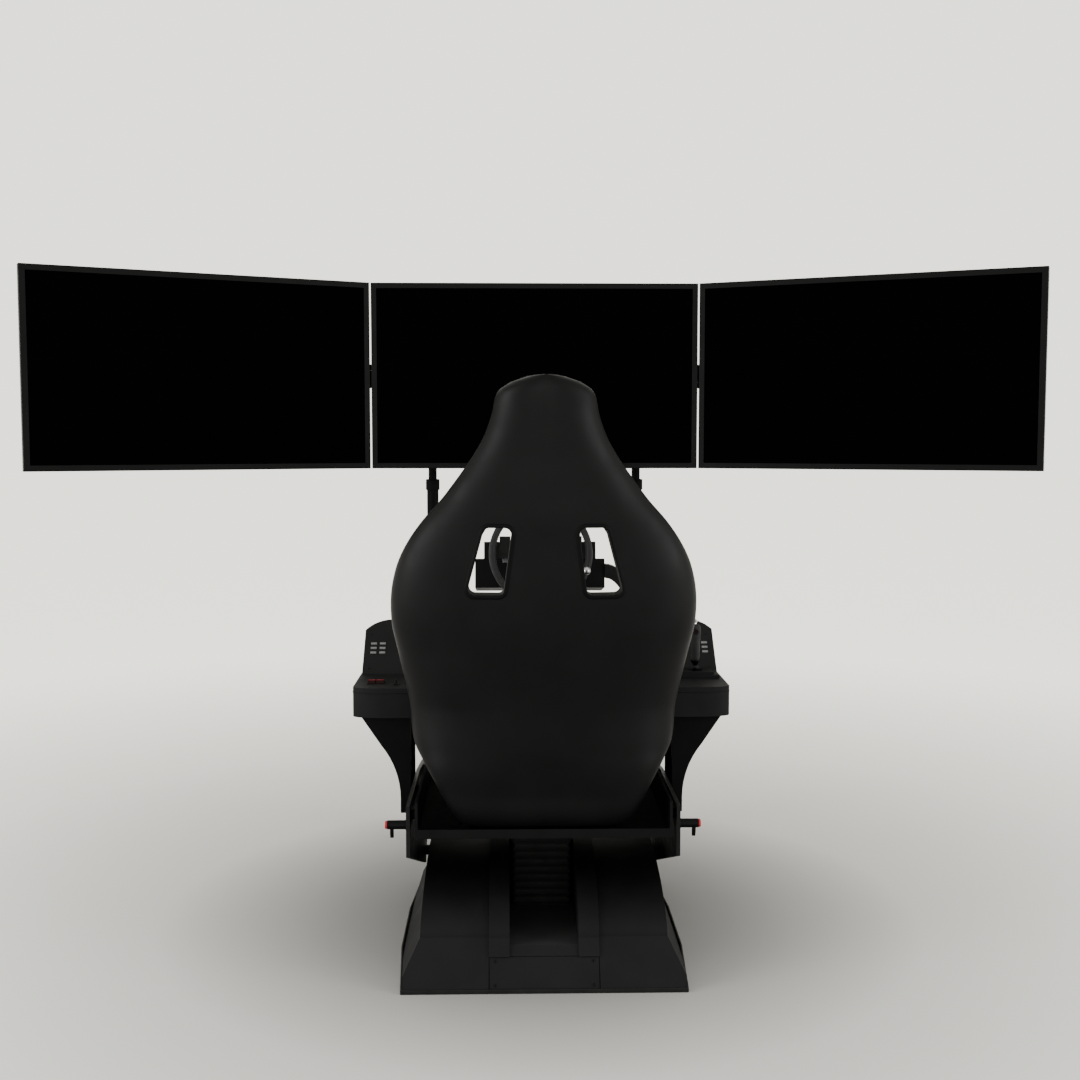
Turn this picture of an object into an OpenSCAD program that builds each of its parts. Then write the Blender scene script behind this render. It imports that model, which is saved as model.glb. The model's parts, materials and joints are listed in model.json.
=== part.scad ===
// Flight simulator cockpit with a side-stick joystick, three screens and a bucket seat.
// Origin on the floor under the middle of the pedestal. +X is the pilot's right and +Y is forward.

/* [Screens] */
// Width of one screen case
screen_w = 880; // [700:10:1000]
// Height of one screen case
screen_h = 497; // [400:1:560]
// Depth of one screen case
screen_t = 50; // [40:1:60]
// Width of the frame round the picture
bezel = 15; // [8:1:30]
// Height of the screens' middle above the floor
screen_z = 1273; // [1150:1:1350]
// Front face of the middle screen, ahead of the origin
screen_y = 685; // [640:5:800]
// Angle that each outer screen is turned towards the pilot
side_angle = 25.7; // [0:0.1:30]
// Distance from the middle plane to each post
post_x = 282; // [200:1:320]
// Radius of the sliding inner tube
tube_r = 11.5; // [10:0.5:14]
// Radius of the fixed post sleeve
sleeve_r = 16; // [15:0.5:20]

/* [Pedestal] */
// Half length of the pedestal on the floor
base_l = 350; // [330:5:420]
// Half width of the pedestal on the floor
base_w = 300; // [290:1:320]
// Height of the straight rear and front aprons
apron_h = 93; // [80:1:100]
// Rise of the arched top above the aprons
hump_h = 112; // [90:1:120]
// Half width of the channel in the middle
channel_w = 70; // [60:1:80]

/* [Seat] */
// Thickness of the seat shell
shell_t = 12; // [8:1:16]
// Space between the shell and each cushion
cushion_gap = 4; // [3:1:8]
// Thickness of the back cushion, with that space
cushion_t = 46; // [30:1:55]

/* [Consoles] */
// Outer side of each console, from the middle plane
console_x = 406; // [398:1:420]
// Width of each console
console_w = 130; // [118:1:132]
// Height of the console's flat top above the floor
console_z = 572; // [560:1:600]
// Depth of the console body below its top
console_h = 64; // [50:1:70]

/* [Joystick] */
// Place of the joystick, right of the middle plane
stick_x = 348; // [345:1:352]
// Place of the joystick, ahead of the origin
stick_y = 28; // [20:1:32]
// Height of the grip alone
grip_h = 82; // [80:1:110]

/* [Wheel] */
// Outer radius of the steering wheel
wheel_r = 125; // [110:1:140]
// Height of the wheel's middle above the floor
wheel_z = 829; // [800:1:860]
// Place of the wheel, ahead of the origin
wheel_y = 258; // [240:1:300]
// Backward lean of the wheel and its column
wheel_lean = 10; // [0:1:20]

/* [Hidden] */

black = [0.05, 0.05, 0.055];
dark = [0.09, 0.09, 0.1];
steel = [0.6, 0.6, 0.62];
red = [0.45, 0.04, 0.05];
pale = [0.85, 0.85, 0.85];
gap = 0.4;               // clearance between parts that move past each other
fit = 0.06;              // radial clearance of a running fit

// Pivot of the tilting seat frame
tilt_y = 235;
tilt_z = 112;
plate_in = 274;          // inner face of each side plate
plate_t = 8;

// Hinge of each outer screen, behind the front face
hinge_back = 20;
hinge_gap = 6;
hinge_x = screen_w / 2 + hinge_gap;
case_off = 6.9;          // from the hinge axis to the outer screen's inner side
hinge_y = screen_y + hinge_back;
pin_r = 2.5;
post_y = 775;
sleeve_top = 993;

// Sloping fascia: lower edge, slope and length
fascia_y = 70;
fascia_z = 576;
fascia_slope = 45;
fascia_len = 150;
fascia_t = 4;
key_w = 13.6;
key_h = 5.4;

channel_floor = 79;
pan_t = 3;               // floor pan under the pedestal
arc_step = 6;

module block(a, b) {
  translate(a) cube([b[0] - a[0], b[1] - a[1], b[2] - a[2]]);
}
module both_sides() {
  children();
  mirror([1, 0, 0]) children();
}
module across(x0, x1) {  // extrudes a (y, z) outline from x0 to x1
  translate([x0, 0, 0]) rotate([90, 0, 90]) linear_extrude(x1 - x0) children();
}
module along(y0, y1) {   // extrudes an (x, z) outline from y0 to y1
  translate([0, y1, 0]) rotate([90, 0, 0]) linear_extrude(y1 - y0) children();
}
module rod_x(x0, x1, y, z, r) {
  translate([x0, y, z]) rotate([0, 90, 0]) cylinder(h = x1 - x0, r = r, $fn = 32);
}
module rod_y(y0, y1, x, z, r) {
  translate([x, y1, z]) rotate([90, 0, 0]) cylinder(h = y1 - y0, r = r, $fn = 32);
}
module rod_z(z0, z1, x, y, r) {
  translate([x, y, z0]) cylinder(h = z1 - z0, r = r, $fn = 40);
}

// ---------- pedestal ----------

function arch(a, b, z0) = [for (t = [0 : arc_step : 180]) [a * cos(t), z0 + b * sin(t)]];

module base_profile(inset, rise) {
  a = base_l - 58 - inset + rise / 2;
  polygon(concat(
    [[-base_l + inset, 0], [base_l - inset, 0]],
    [for (p = arch(a, hump_h - inset + rise, apron_h)) p]
  ));
}
module base_section(inset) {
  w = base_w - inset;
  polygon([[-w, 0], [w, 0], [w - 48, apron_h], [w - 54, 230], [-w + 54, 230], [-w + 48, apron_h]]);
}
module base_plan(grow) {
  w = base_w + grow;
  l = base_l + grow;
  polygon([
    [-w + 16, -l], [w - 16, -l], [w, -120], [w, 120],
    [w - 16, l], [-w + 16, l], [-w, 120], [-w, -120]
  ]);
}
module base_body(inset, rise, z0) {
  intersection() {
    across(-400, 400) base_profile(inset, rise);
    along(-500, 500) base_section(inset);
    translate([0, 0, z0]) linear_extrude(300) base_plan(-inset);
  }
}
module base_shell() {
  rib_w = 42;
  wall = 6;
  color(dark) difference() {
    union() {
      base_body(0, 0, pan_t);
      intersection() {
        base_body(0, 12, pan_t);
        both_sides() block([channel_w, -400, 10], [channel_w + rib_w, 400, 300]);
      }
    }
    difference() {
      base_body(wall, -wall, 1);
      block([-channel_w - wall, -400, channel_floor - wall], [channel_w + wall, 80, 300]);
    }
    block([-channel_w, -400, channel_floor], [channel_w, 80 - wall, 300]);
    // the seat frame's pivot pins pass through the sides
    rod_x(-400, 400, tilt_y, tilt_z, 14);
    // the lift rod rises through the channel floor
    rod_z(0, 200, 0, 0, 46);
    // recess of the access panel in the rear apron
    across(-112, 112) polygon([
      [-base_l - 10, 4], [-base_l + 5.5, 4], [-base_l + 41, 61], [-base_l - 10, 61]
    ]);
  }
}
module access_panel() {
  color(dark) across(-111, 111) polygon([
    [-base_l + 3.2, 5], [-base_l + 6, 5], [-base_l + 40, 60], [-base_l + 37.2, 60]
  ]);
}
module floor_skirt() {
  // floor pan with a low rim round the shell
  color(black) difference() {
    linear_extrude(9) base_plan(4);
    translate([0, 0, pan_t]) linear_extrude(20) base_plan(gap);
  }
}
module base_frame() {
  // welded frame inside the pedestal, with a bearing for each pivot pin
  color(steel) {
    difference() {
      both_sides() block([205, tilt_y - 22, 30], [230, tilt_y + 22, tilt_z + 18]);
      rod_x(-400, 400, tilt_y, tilt_z, 12 + fit);
    }
    both_sides() block([205, -240, pan_t], [230, tilt_y + 30, 30]);
    block([-205, tilt_y - 30, pan_t], [205, tilt_y + 10, 30]);
    block([-205, -60, pan_t], [205, -30, 18]);
    block([-205, 30, pan_t], [205, 60, 18]);
  }
}
module lift_actuator() {
  // motor and gearbox under the channel floor, with a cup that the lift rod stands in
  color(dark) {
    difference() {
      rod_z(pan_t, 96, 0, 0, 29);
      rod_z(88, 120, 0, 0, 16);
    }
    rod_x(29, 120, 0, 44, 24);
  }
}
module bellows() {
  folds = 13;
  z0 = channel_floor;
  pitch = 16.75;
  color(black) difference() {
    for (i = [0 : folds - 1]) {
      translate([0, 0, z0 + i * pitch]) {
        block([-66, -68, 0], [66, 66, pitch / 2]);
        block([-60, -62, pitch / 2 - 0.01], [60, 60, pitch + 0.01]);
      }
    }
    block([-52, -54, 0], [52, 52, 400]);
  }
}

// ---------- screen stand and pedals ----------

module stand_frame() {
  color(black) {
    block([-320, 750, 0], [320, 800, 30]);
    both_sides() block([100, base_l + 4, 3], [140, 750, 28]);
    both_sides() rod_z(30, 40, post_x, post_y, 26);
  }
}
module post_sleeves() {
  color(black) both_sides() difference() {
    rod_z(40, sleeve_top, post_x, post_y, sleeve_r);
    rod_z(560, sleeve_top + 1, post_x, post_y, tube_r + fit);
  }
}
module pedal_box() {
  color(dark) difference() {
    block([-150, 575, 28], [150, 700, 110]);
    for (x = [-65, 65]) {
      block([x - 16, 570, 34], [x + 16, 680, 120]);
      rod_x(x - 40, x + 40, 655, 60, 5 + fit);
    }
  }
}
module pedal(x) {
  across(x - 14, x + 14) polygon([[645, 50], [668, 50], [668, 70], [585, 190], [570, 180], [640, 74]]);
  rod_x(x - 30, x + 30, 655, 60, 5);
  translate([x, 572, 180]) rotate([-32, 0, 0]) difference() {
    block([-36, -8, -52], [36, 0, 62]);
    for (z = [-36 : 16 : 44]) {
      block([-28, -9, z], [28, -6, z + 6]);
    }
  }
}
module brake_pedal() {
  color(steel) pedal(-65);
}
module throttle_pedal() {
  color(steel) pedal(65);
}
module screen_mast() {
  back = screen_y + screen_t;
  color(black) {
    both_sides() {
      rod_z(560.5, screen_z + 140, post_x, post_y, tube_r);
      block([post_x - 20, back + 8, screen_z - 140], [post_x + 20, post_y, screen_z - 100]);
      block([post_x - 20, back + 8, screen_z + 100], [post_x + 20, post_y, screen_z + 140]);
      // hinge arm: a strap behind the case and a fin with a knuckle beside it
      block([post_x + 20, back + 8, screen_z - 16], [hinge_x - 2, back + 14, screen_z + 16]);
      block([hinge_x - 5.9, hinge_y, screen_z - 16], [hinge_x - 2, back + 8, screen_z + 16]);
      rod_z(screen_z - 16, screen_z + 16, hinge_x, hinge_y, 5);
      rod_z(screen_z - 32, screen_z + 32, hinge_x, hinge_y, pin_r);
    }
    block([-post_x - 20, back, screen_z - 120], [post_x + 20, back + 8, screen_z + 120]);
    block([-post_x - 20, back + 8, screen_z - 16], [post_x + 20, back + 14, screen_z + 16]);
  }
}
module case_solid() {    // one screen case, its left front lower corner at the origin
  w = screen_w;
  difference() {
    union() {
      block([0, 0, 0], [w, 28, screen_h]);
      block([60, 28, 50], [w - 60, screen_t, screen_h - 50]);
    }
    block([bezel, -1, bezel], [w - bezel, 4, screen_h - bezel]);
    block([bezel + 8, 3, bezel + 8], [w - bezel - 8, 25, screen_h - bezel - 8]);
    block([70, 24, 60], [w - 70, screen_t - 4, screen_h - 60]);
  }
}
module screen_solid() {
  block([bezel + 0.2, 1, bezel + 0.2], [screen_w - bezel - 0.2, 3.8, screen_h - bezel - 0.2]);
}
module at_centre() {
  translate([-screen_w / 2, screen_y, screen_z - screen_h / 2]) children();
}
module at_right() {      // swung about the right-hand hinge
  translate([hinge_x, hinge_y, 0]) rotate([0, 0, -side_angle])
    translate([case_off, -hinge_back, screen_z - screen_h / 2]) children();
}
module at_left() {
  mirror([1, 0, 0]) at_right() children();
}
module outer_hinge() {   // two knuckles on the outer case, above and below the middle one
  zc = screen_h / 2;
  for (s = [-1, 1]) {
    translate([-case_off, hinge_back, zc + s * 24 - 7.6]) difference() {
      union() {
        cylinder(h = 15.2, r = 5, $fn = 40);
        translate([0, -3, 0]) cube([case_off, 6, 15.2]);
      }
      translate([0, 0, -1]) cylinder(h = 18, r = pin_r + fit, $fn = 40);
    }
  }
}
module centre_case() {
  color(dark) at_centre() case_solid();
}
module centre_screen() {
  color(black) at_centre() screen_solid();
}
module outer_case() {
  case_solid();
  outer_hinge();
}
module left_case() {
  color(dark) at_left() outer_case();
}
module left_screen() {
  color(black) at_left() screen_solid();
}
module right_case() {
  color(dark) at_right() outer_case();
}
module right_screen() {
  color(black) at_right() screen_solid();
}

// ---------- tilting seat frame ----------

module seat_tray() {
  rod_end = 89;
  half = 261;
  wall = 6;
  color(black) {
    block([-half, -292, 297], [half, 230, 302]);
    block([-half, -292, 302], [half, -286, 316]);
    block([-half, 224, 302], [half, 230, 338]);
    both_sides() {
      block([half - wall, -292, 302], [half, 230, 372]);
      // spacers out to the side plates
      for (y = [-200, 0, 190]) {
        rod_x(half - wall, plate_in, y, 322, 10);
      }
    }
    for (x = [-170, 150]) {
      block([x, -240, 302], [x + 20, 180, 306]);
    }
    rod_z(rod_end, 297, 0, 0, 12);
  }
}
module side_plates() {
  color(black) both_sides() {
    difference() {
      across(plate_in, plate_in + plate_t) polygon([
        [-250, 352], [-250, 246], [268, 70], [330, 128], [330, 260], [250, 330], [60, 352]
      ]);
      rod_x(plate_in - 1, plate_in + plate_t + 1, lever_y, lever_z, 5 + fit);
    }
    rod_x(202, plate_in, tilt_y, tilt_z, 12);
    // cover cap over the pivot
    rod_x(plate_in + plate_t, plate_in + plate_t + 5, tilt_y, tilt_z, 26);
  }
}
// Outer edge of a console arm: straight up, then a concave arc that runs out under the console
arm_in = plate_in + plate_t;
arm_foot = 23;
arm_r = 185;
arm_turn = 39;
arm_z0 = 296;
arm_bend_z = 328;
arm_z1 = console_z - console_h;
arm_top_x = 388;
function arm_edge(inset) = concat(
  [[arm_in + arm_foot - inset, arm_z0]],
  [for (t = [0 : arm_turn / 8 : arm_turn]) [
    arm_in + arm_foot + arm_r - (arm_r + inset) * cos(t),
    arm_bend_z + (arm_r + inset) * sin(t)
  ]],
  [[arm_top_x - inset, arm_z1 - 2], [arm_top_x - inset, arm_z1]]
);
function reversed(v) = [for (i = [len(v) - 1 : -1 : 0]) v[i]];
module arm_solid() {
  for (y = [-96, 30]) {
    along(y, y + 8) polygon(concat(arm_edge(0), [[arm_in, arm_z1], [arm_in, arm_z0]]));
  }
  along(-88, 30) polygon(concat(arm_edge(0), reversed(arm_edge(6))));
}
module left_arm() {
  color(black) mirror([1, 0, 0]) arm_solid();
}
module right_arm() {
  color(black) arm_solid();
}
column_foot = [0, 296, 225];
column_r = 25;
wheel_box_low = 76;      // underside of the wheel base, below the wheel's shaft
column_len = (wheel_z - column_foot[2]) * cos(wheel_lean)
  - (column_foot[1] - wheel_y) * sin(wheel_lean) - wheel_box_low;
module wheel_column() {
  color(black) {
    rod_x(-plate_in, plate_in, column_foot[1], column_foot[2], 20);
    difference() {
      translate(column_foot) rotate([-wheel_lean, 0, 0]) cylinder(h = column_len, r = column_r, $fn = 40);
      rod_x(-plate_in, plate_in, column_foot[1], column_foot[2], 19.9);
    }
  }
}
// Curved band from the wheel base down to the right console's inner side
brace_y = 340;
brace_x0 = 166;
console_in = console_x - console_w;
module wheel_brace() {
  a = console_in - 17 - brace_x0;
  h = 218;
  w = 17;
  color(black) {
    along(brace_y, brace_y + 30) polygon(concat(
      [for (t = [0 : 6 : 90]) [brace_x0 + (a + w) * sin(t), 560 + (h + w) * cos(t)]],
      [for (t = [90 : -6 : 0]) [brace_x0 + (a - w) * sin(t), 560 + (h - w) * cos(t)]]
    ));
    block([console_in - 34, brace_y, 530], [console_in, brace_y + 30, 560]);
  }
}

// ---------- consoles ----------

console_bow = [64, 24];  // half axes of the outer rear corner
module console_plan(inset) {
  rx = console_bow[0] - inset;
  ry = console_bow[1] - inset;
  x0 = console_in + inset;
  x1 = console_x - inset;
  y0 = -116 + inset;
  y1 = 372 - inset;
  cx = console_x - console_bow[0];
  cy = -116 + console_bow[1];
  polygon(concat(
    [[x0, y1], [x0, y0]],
    [for (t = [-90 : 7.5 : 0]) [cx + rx * cos(t), cy + ry * sin(t)]],
    [[x1, y1]]
  ));
}
module fascia_outline(grow) {  // (x, distance up the slope), with a shallow arc over the outer top corner
  r = 80;
  first = 38;
  x_out = console_x - 2 + grow;
  polygon(concat(
    [[console_in + 6, 0], [x_out, 0]],
    [for (t = [first : 6.5 : 90]) [x_out + r * (cos(t) - cos(first)), fascia_len - r + r * sin(t)]],
    [[console_in + 6, fascia_len]]
  ));
}
module on_fascia() {           // plane of the fascia: x across, y up the slope, z out of it
  translate([0, fascia_y, fascia_z]) rotate([fascia_slope, 0, 0]) children();
}
function key_at(col, row) = [console_x - 24 - 20.3 * col, 79 - 12.8 * row];
module console_solid() {
  z0 = console_z - console_h;
  difference() {
    union() {
      translate([0, 0, z0]) linear_extrude(console_h) console_plan(0);
      // housing behind the fascia
      intersection() {
        on_fascia() translate([0, 0, -150]) linear_extrude(150 - fascia_t) fascia_outline(0);
        block([0, fascia_y, console_z - 1], [500, 372, 800]);
      }
    }
    difference() {
      translate([0, 0, z0 + 5]) linear_extrude(console_h - 10) console_plan(5);
      // post that the arm's screws go into
      rod_z(z0, console_z, 330, -20, 10);
    }
    intersection() {
      on_fascia() translate([0, 0, -145]) linear_extrude(145 - fascia_t - 5) difference() {
        fascia_outline(-5);
        translate([console_in, 0]) square([11, 200]);
        translate([console_in, -10]) square([200, 14]);
        translate([console_in, fascia_len - 5]) square([200, 14]);
      }
      block([0, fascia_y + 5, console_z - 20], [500, 367, 800]);
    }
  }
}
module key_holes(cols) {
  for (col = cols, row = [0 : 2]) {
    p = key_at(col, row);
    on_fascia() translate([p[0] - key_w / 2 - gap, p[1] - key_h / 2 - gap, -20])
      cube([key_w + 2 * gap, key_h + 2 * gap, 40]);
  }
}
rocker_xs = [-369.5, -351.5];
rocker_y = -50;
toggle_x = -315.5;
toggle_y = -70;
module left_console() {
  color(dark) difference() {
    mirror([1, 0, 0]) console_solid();
    mirror([1, 0, 0]) key_holes([0, 1]);
    for (x = rocker_xs) {
      block([x - 8.4, rocker_y - 13.4, console_z - 10], [x + 8.4, rocker_y + 13.4, console_z + 5]);
    }
    rod_z(console_z - 10, console_z + 5, toggle_x, toggle_y, 7);
  }
}
module right_console() {
  color(dark) difference() {
    console_solid();
    key_holes([0]);
    block([stick_x - 38, stick_y - 30, console_z - 10], [stick_x + 38, stick_y + 30, console_z + 5]);
  }
}
module fascia_solid() {
  on_fascia() translate([0, 0, -fascia_t]) linear_extrude(fascia_t) fascia_outline(0);
}
module left_fascia() {
  color(dark) mirror([1, 0, 0]) difference() {
    fascia_solid();
    key_holes([0, 1]);
  }
}
module right_fascia() {
  color(dark) difference() {
    fascia_solid();
    key_holes([0]);
  }
}
module key(col, row) {         // cap that stands 1.6 mm proud, with a stem behind it
  p = key_at(col, row);
  on_fascia() translate([p[0], p[1], 0]) {
    translate([-key_w / 2, -key_h / 2, -3.5]) cube([key_w, key_h, 5.1]);
    translate([-4, -2, -8.5]) cube([8, 4, 5]);
  }
}
module left_key(n) {
  color(pale) mirror([1, 0, 0]) key(n % 2, floor(n / 2));
}
module left_key_1() { left_key(0); }
module left_key_2() { left_key(1); }
module left_key_3() { left_key(2); }
module left_key_4() { left_key(3); }
module left_key_5() { left_key(4); }
module left_key_6() { left_key(5); }
module right_key_1() { color(pale) key(0, 0); }
module right_key_2() { color(pale) key(0, 1); }
module right_key_3() { color(pale) key(0, 2); }
module rocker(x) {             // rocks about a line along X just under the top
  color(red) translate([0, rocker_y, console_z]) across(x - 8, x + 8) polygon([
    [-11.5, -8], [-11.5, 1.6], [-2, 6.6], [3, 6.6], [11.5, 2.4], [11.5, -8]
  ]);
}
module rocker_left() { rocker(rocker_xs[0]); }
module rocker_right() { rocker(rocker_xs[1]); }
module toggle_switch() {
  color(steel) translate([toggle_x, toggle_y, console_z - 3]) {
    sphere(r = 4, $fn = 24);
    cylinder(h = 12, r = 2, $fn = 24);
    translate([0, 0, 12]) sphere(r = 2.8, $fn = 24);
  }
}

// ---------- seat ----------

// Each station: y and z of the outer surface, direction of the wrap from straight up, half width,
// wrap depth and roundness (1 is an ellipse, less is squarer)
SEAT = [
  [215, 368, -14, 204, 44, 0.8], [190, 354, -10, 222, 66, 0.8], [100, 334, -5, 232, 92, 0.8],
  [0, 317, -1, 230, 106, 0.75], [-100, 309, 0, 218, 113, 0.6], [-150, 307, 14, 204, 116, 0.45],
  [-232, 307, 31, 187, 118, 0.32], [-270, 314, 43, 190, 118, 0.32], [-287, 338, 53, 202, 118, 0.35],
  [-296, 385, 66, 225, 118, 0.38], [-307, 430, 79, 248, 118, 0.55], [-318, 475, 90, 265, 120, 0.8],
  [-335, 563, 90, 275, 124, 1], [-362, 668, 90, 295, 126, 1], [-380, 740, 90, 307, 118, 1],
  [-397, 823, 90, 301, 106, 1], [-404, 865, 90, 288, 98, 1], [-411, 905, 90, 267, 92, 1],
  [-419, 945, 90, 238, 86, 1], [-426, 985, 90, 202, 80, 1], [-433, 1024, 90, 172, 74, 1],
  [-441, 1072, 90, 138, 68, 1], [-446, 1097, 90, 123, 65, 1], [-452, 1129, 90, 109, 62, 1],
  [-457, 1159, 90, 100, 60, 1], [-460, 1180, 90, 96, 56, 1], [-462, 1197, 90, 86, 50, 1],
  [-463, 1209, 90, 66, 42, 1], [-461, 1219, 90, 36, 32, 1]
];
function wrap_share(s, th) = abs(th) > 90 ? 1 + sin(abs(th) - 90) : 1 - pow(cos(th), s[5]);
function offset_of(s, inset, th) = inset + (s[4] - inset) * wrap_share(s, th);
function seat_point(s, inset, th) = [
  (s[3] - inset) * sign(th) * pow(sin(abs(th)), s[5]),
  s[0] + sin(s[2]) * offset_of(s, inset, th),
  s[1] + cos(s[2]) * offset_of(s, inset, th)
];
module wrapped(stations, in_1, in_2, th_max, n) {  // solid between two insets of the seat surface
  m = 2 * (n + 1);
  rings = len(stations);
  pts = [for (s = stations) each concat(
    [for (j = [0 : n]) seat_point(s, in_1, -th_max + 2 * th_max * j / n)],
    [for (j = [n : -1 : 0]) seat_point(s, in_2, -th_max + 2 * th_max * j / n)]
  )];
  walls = [for (i = [0 : rings - 2], j = [0 : m - 1]) each [
    [i * m + j, i * m + (j + 1) % m, (i + 1) * m + (j + 1) % m],
    [i * m + j, (i + 1) * m + (j + 1) % m, (i + 1) * m + j]
  ]];
  last = (rings - 1) * m;
  cap_0 = [for (j = [0 : n - 1]) each [[j + 1, j, m - 1 - j], [j + 1, m - 1 - j, m - 2 - j]]];
  cap_1 = [for (j = [0 : n - 1]) each [
    [last + j, last + j + 1, last + m - 1 - j], [last + j + 1, last + m - 2 - j, last + m - 1 - j]
  ]];
  polyhedron(points = pts, faces = concat(walls, cap_0, cap_1));
}
function slice(v, a, b) = [for (i = [a : b]) v[i]];
module harness_holes(grow) {   // two slots that lean outwards at the bottom
  both_sides() along(-600, 0) hull() {
    for (p = [[78, 921], [107, 921], [136, 815], [92, 815]]) {
      translate(p) circle(r = 15 + grow, $fn = 24);
    }
  }
}
module seat_shell() {
  color(dark) difference() {
    wrapped(SEAT, 0, shell_t, 96, 16);
    harness_holes(0);
  }
}
module back_cushion() {
  color(black) difference() {
    wrapped(slice(SEAT, 11, 26), shell_t + cushion_gap, shell_t + cushion_t, 84, 14);
    harness_holes(1);
  }
}
module seat_cushion() {
  color(black) wrapped(slice(SEAT, 1, 6), shell_t + cushion_gap, shell_t + cushion_t + 8, 72, 12);
}
module seat_runners() {        // carriages that hook over the tray's rails
  color(steel) for (x = [-172, 148]) {
    difference() {
      block([x, -180, 303], [x + 24, 60, 307]);
      block([x + 2 - gap, -200, 300], [x + 22 + gap, 100, 306 + gap]);
    }
    for (p = [[-110, 315], [-10, 325]]) {
      block([x + 4, p[0], 307], [x + 20, p[0] + 40, p[1]]);
    }
  }
}

// ---------- levers ----------

lever_y = -226;
lever_z = 308;
// Twist lever on the right: pin through the plate, bar, end ring and finger hook
module lever_solid() {
  x0 = plate_in + plate_t + gap;
  rod_x(plate_in + gap, x0 + 1, lever_y, lever_z, 5);
  rod_x(x0, x0 + 3, lever_y, lever_z, 10);
  rod_x(x0 + 3, x0 + 39.6, lever_y, lever_z, 9.3);
  rod_x(x0 + 39.6, x0 + 44, lever_y, lever_z, 7.8);
  across(x0 + 27, x0 + 34) polygon([
    [lever_y - 6, lever_z], [lever_y - 4, lever_z - 18], [lever_y + 2, lever_z - 28],
    [lever_y + 7, lever_z - 26], [lever_y + 6, lever_z]
  ]);
}
module left_lever() {
  color(black) mirror([1, 0, 0]) lever_solid();
}
module right_lever() {
  color(black) lever_solid();
}

// ---------- steering wheel ----------

wheel_x = 6;
wheel_pod = [87, 31];    // thumb button, from the wheel's middle
knob_angle = -22;
rim_tube = 8;            // radius of the rim's section
knob_r = 10;
module at_wheel() {            // z of this frame points at the pilot along the wheel's shaft
  translate([wheel_x, wheel_y, wheel_z]) rotate([90 - wheel_lean, 0, 0]) children();
}
module wheel_base() {
  at_z = -95;
  color(dark) at_wheel() difference() {
    union() {
      translate([-138, -4, at_z - 105]) cube([276, 42, 105]);
      translate([-160, -wheel_box_low, at_z - 120]) cube([320, wheel_box_low - 4, 120]);
      translate([0, 0, at_z]) cylinder(h = 12, r = 44, $fn = 48);
    }
    translate([0, 0, at_z - 70]) cylinder(h = 100, r = 12 + fit, $fn = 48);
  }
}
module wheel_rim() {
  spokes = [0, 180, 270];
  color(black) at_wheel() {
    rotate_extrude($fn = 64) translate([wheel_r - rim_tube, 0]) circle(r = rim_tube, $fn = 24);
    difference() {
      union() {
        translate([0, 0, -22]) cylinder(h = 26, r = 34, $fn = 48);
        for (a = spokes) {
          rotate([0, 0, a]) translate([20, -11, -12]) cube([wheel_r - rim_tube - 20, 22, 7]);
        }
        // pods that carry the thumb buttons
        for (s = [-1, 1]) {
          translate([s * 86 - 13, 0, -12]) cube([26, 42, 9]);
        }
      }
      for (a = [0, 180]) {
        rotate([0, 0, a]) translate([58, 0, -20]) cylinder(h = 40, r = 5, $fn = 32);
      }
      translate([wheel_pod[0], wheel_pod[1], -13]) cylinder(h = 20, r = 5.4, $fn = 32);
    }
    translate([0, 0, -150]) cylinder(h = 128, r = 12, $fn = 48);
  }
}
module wheel_button() {
  color(pale) at_wheel() translate([wheel_pod[0], wheel_pod[1], -9]) cylinder(h = 8, r = 5, $fn = 32);
}
module spinner_knob() {        // ball knob that turns on a stud on the rim's front
  color(steel) at_wheel() rotate([0, 0, knob_angle]) translate([wheel_r - rim_tube, 0, rim_tube + gap]) {
    cylinder(h = 12, r = 4, $fn = 32);
    translate([0, 0, 15]) sphere(r = knob_r, $fn = 40);
  }
}
module paddle_solid() {        // right-hand shift paddle, swinging about a pin beside the hub
  at_wheel() {
    difference() {
      translate([38, -20, -26]) cube([54, 40, 3]);
      translate([70, 28, -30]) cylinder(h = 10, r = 18, $fn = 40);
    }
    translate([36, -8, -26]) cube([4, 16, 5]);
  }
}
module right_paddle() {
  color(steel) paddle_solid();
}
module left_paddle() {
  color(steel) translate([2 * wheel_x, 0, 0]) mirror([1, 0, 0]) paddle_solid();
}

// ---------- joystick ----------

plate_z = console_z + 13;      // top of the joystick's cover plate
pivot_z = console_z - 16;      // both gimbal axes cross here
ring_r = 22;
ring_in = 16;
module stick_plate() {
  color(dark) difference() {
    union() {
      block([stick_x - 44, stick_y - 36, console_z], [stick_x + 50, stick_y + 36, console_z + 7]);
      block([stick_x - 38, stick_y - 29, console_z + 7], [stick_x + 38, stick_y + 29, plate_z]);
      // bearing blocks of the roll axis hang under the plate
      for (s = [-1, 1]) {
        block([stick_x - 9, stick_y + s * 26 - 3, pivot_z - 8],
          [stick_x + 9, stick_y + s * 26 + 3, console_z]);
      }
    }
    rod_z(console_z - 1, plate_z + 1, stick_x, stick_y, 16);
    rod_y(stick_y - 40, stick_y + 40, stick_x, pivot_z, 3 + fit);
  }
}
module gimbal_ring() {
  color(steel) difference() {
    union() {
      rod_z(pivot_z - 4, pivot_z + 4, stick_x, stick_y, ring_r);
      rod_y(stick_y - 29, stick_y + 29, stick_x, pivot_z, 3);
    }
    rod_z(pivot_z - 5, pivot_z + 5, stick_x, stick_y, ring_in);
    rod_x(stick_x - 30, stick_x + 30, stick_y, pivot_z, 2.5 + fit);
  }
}
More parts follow.
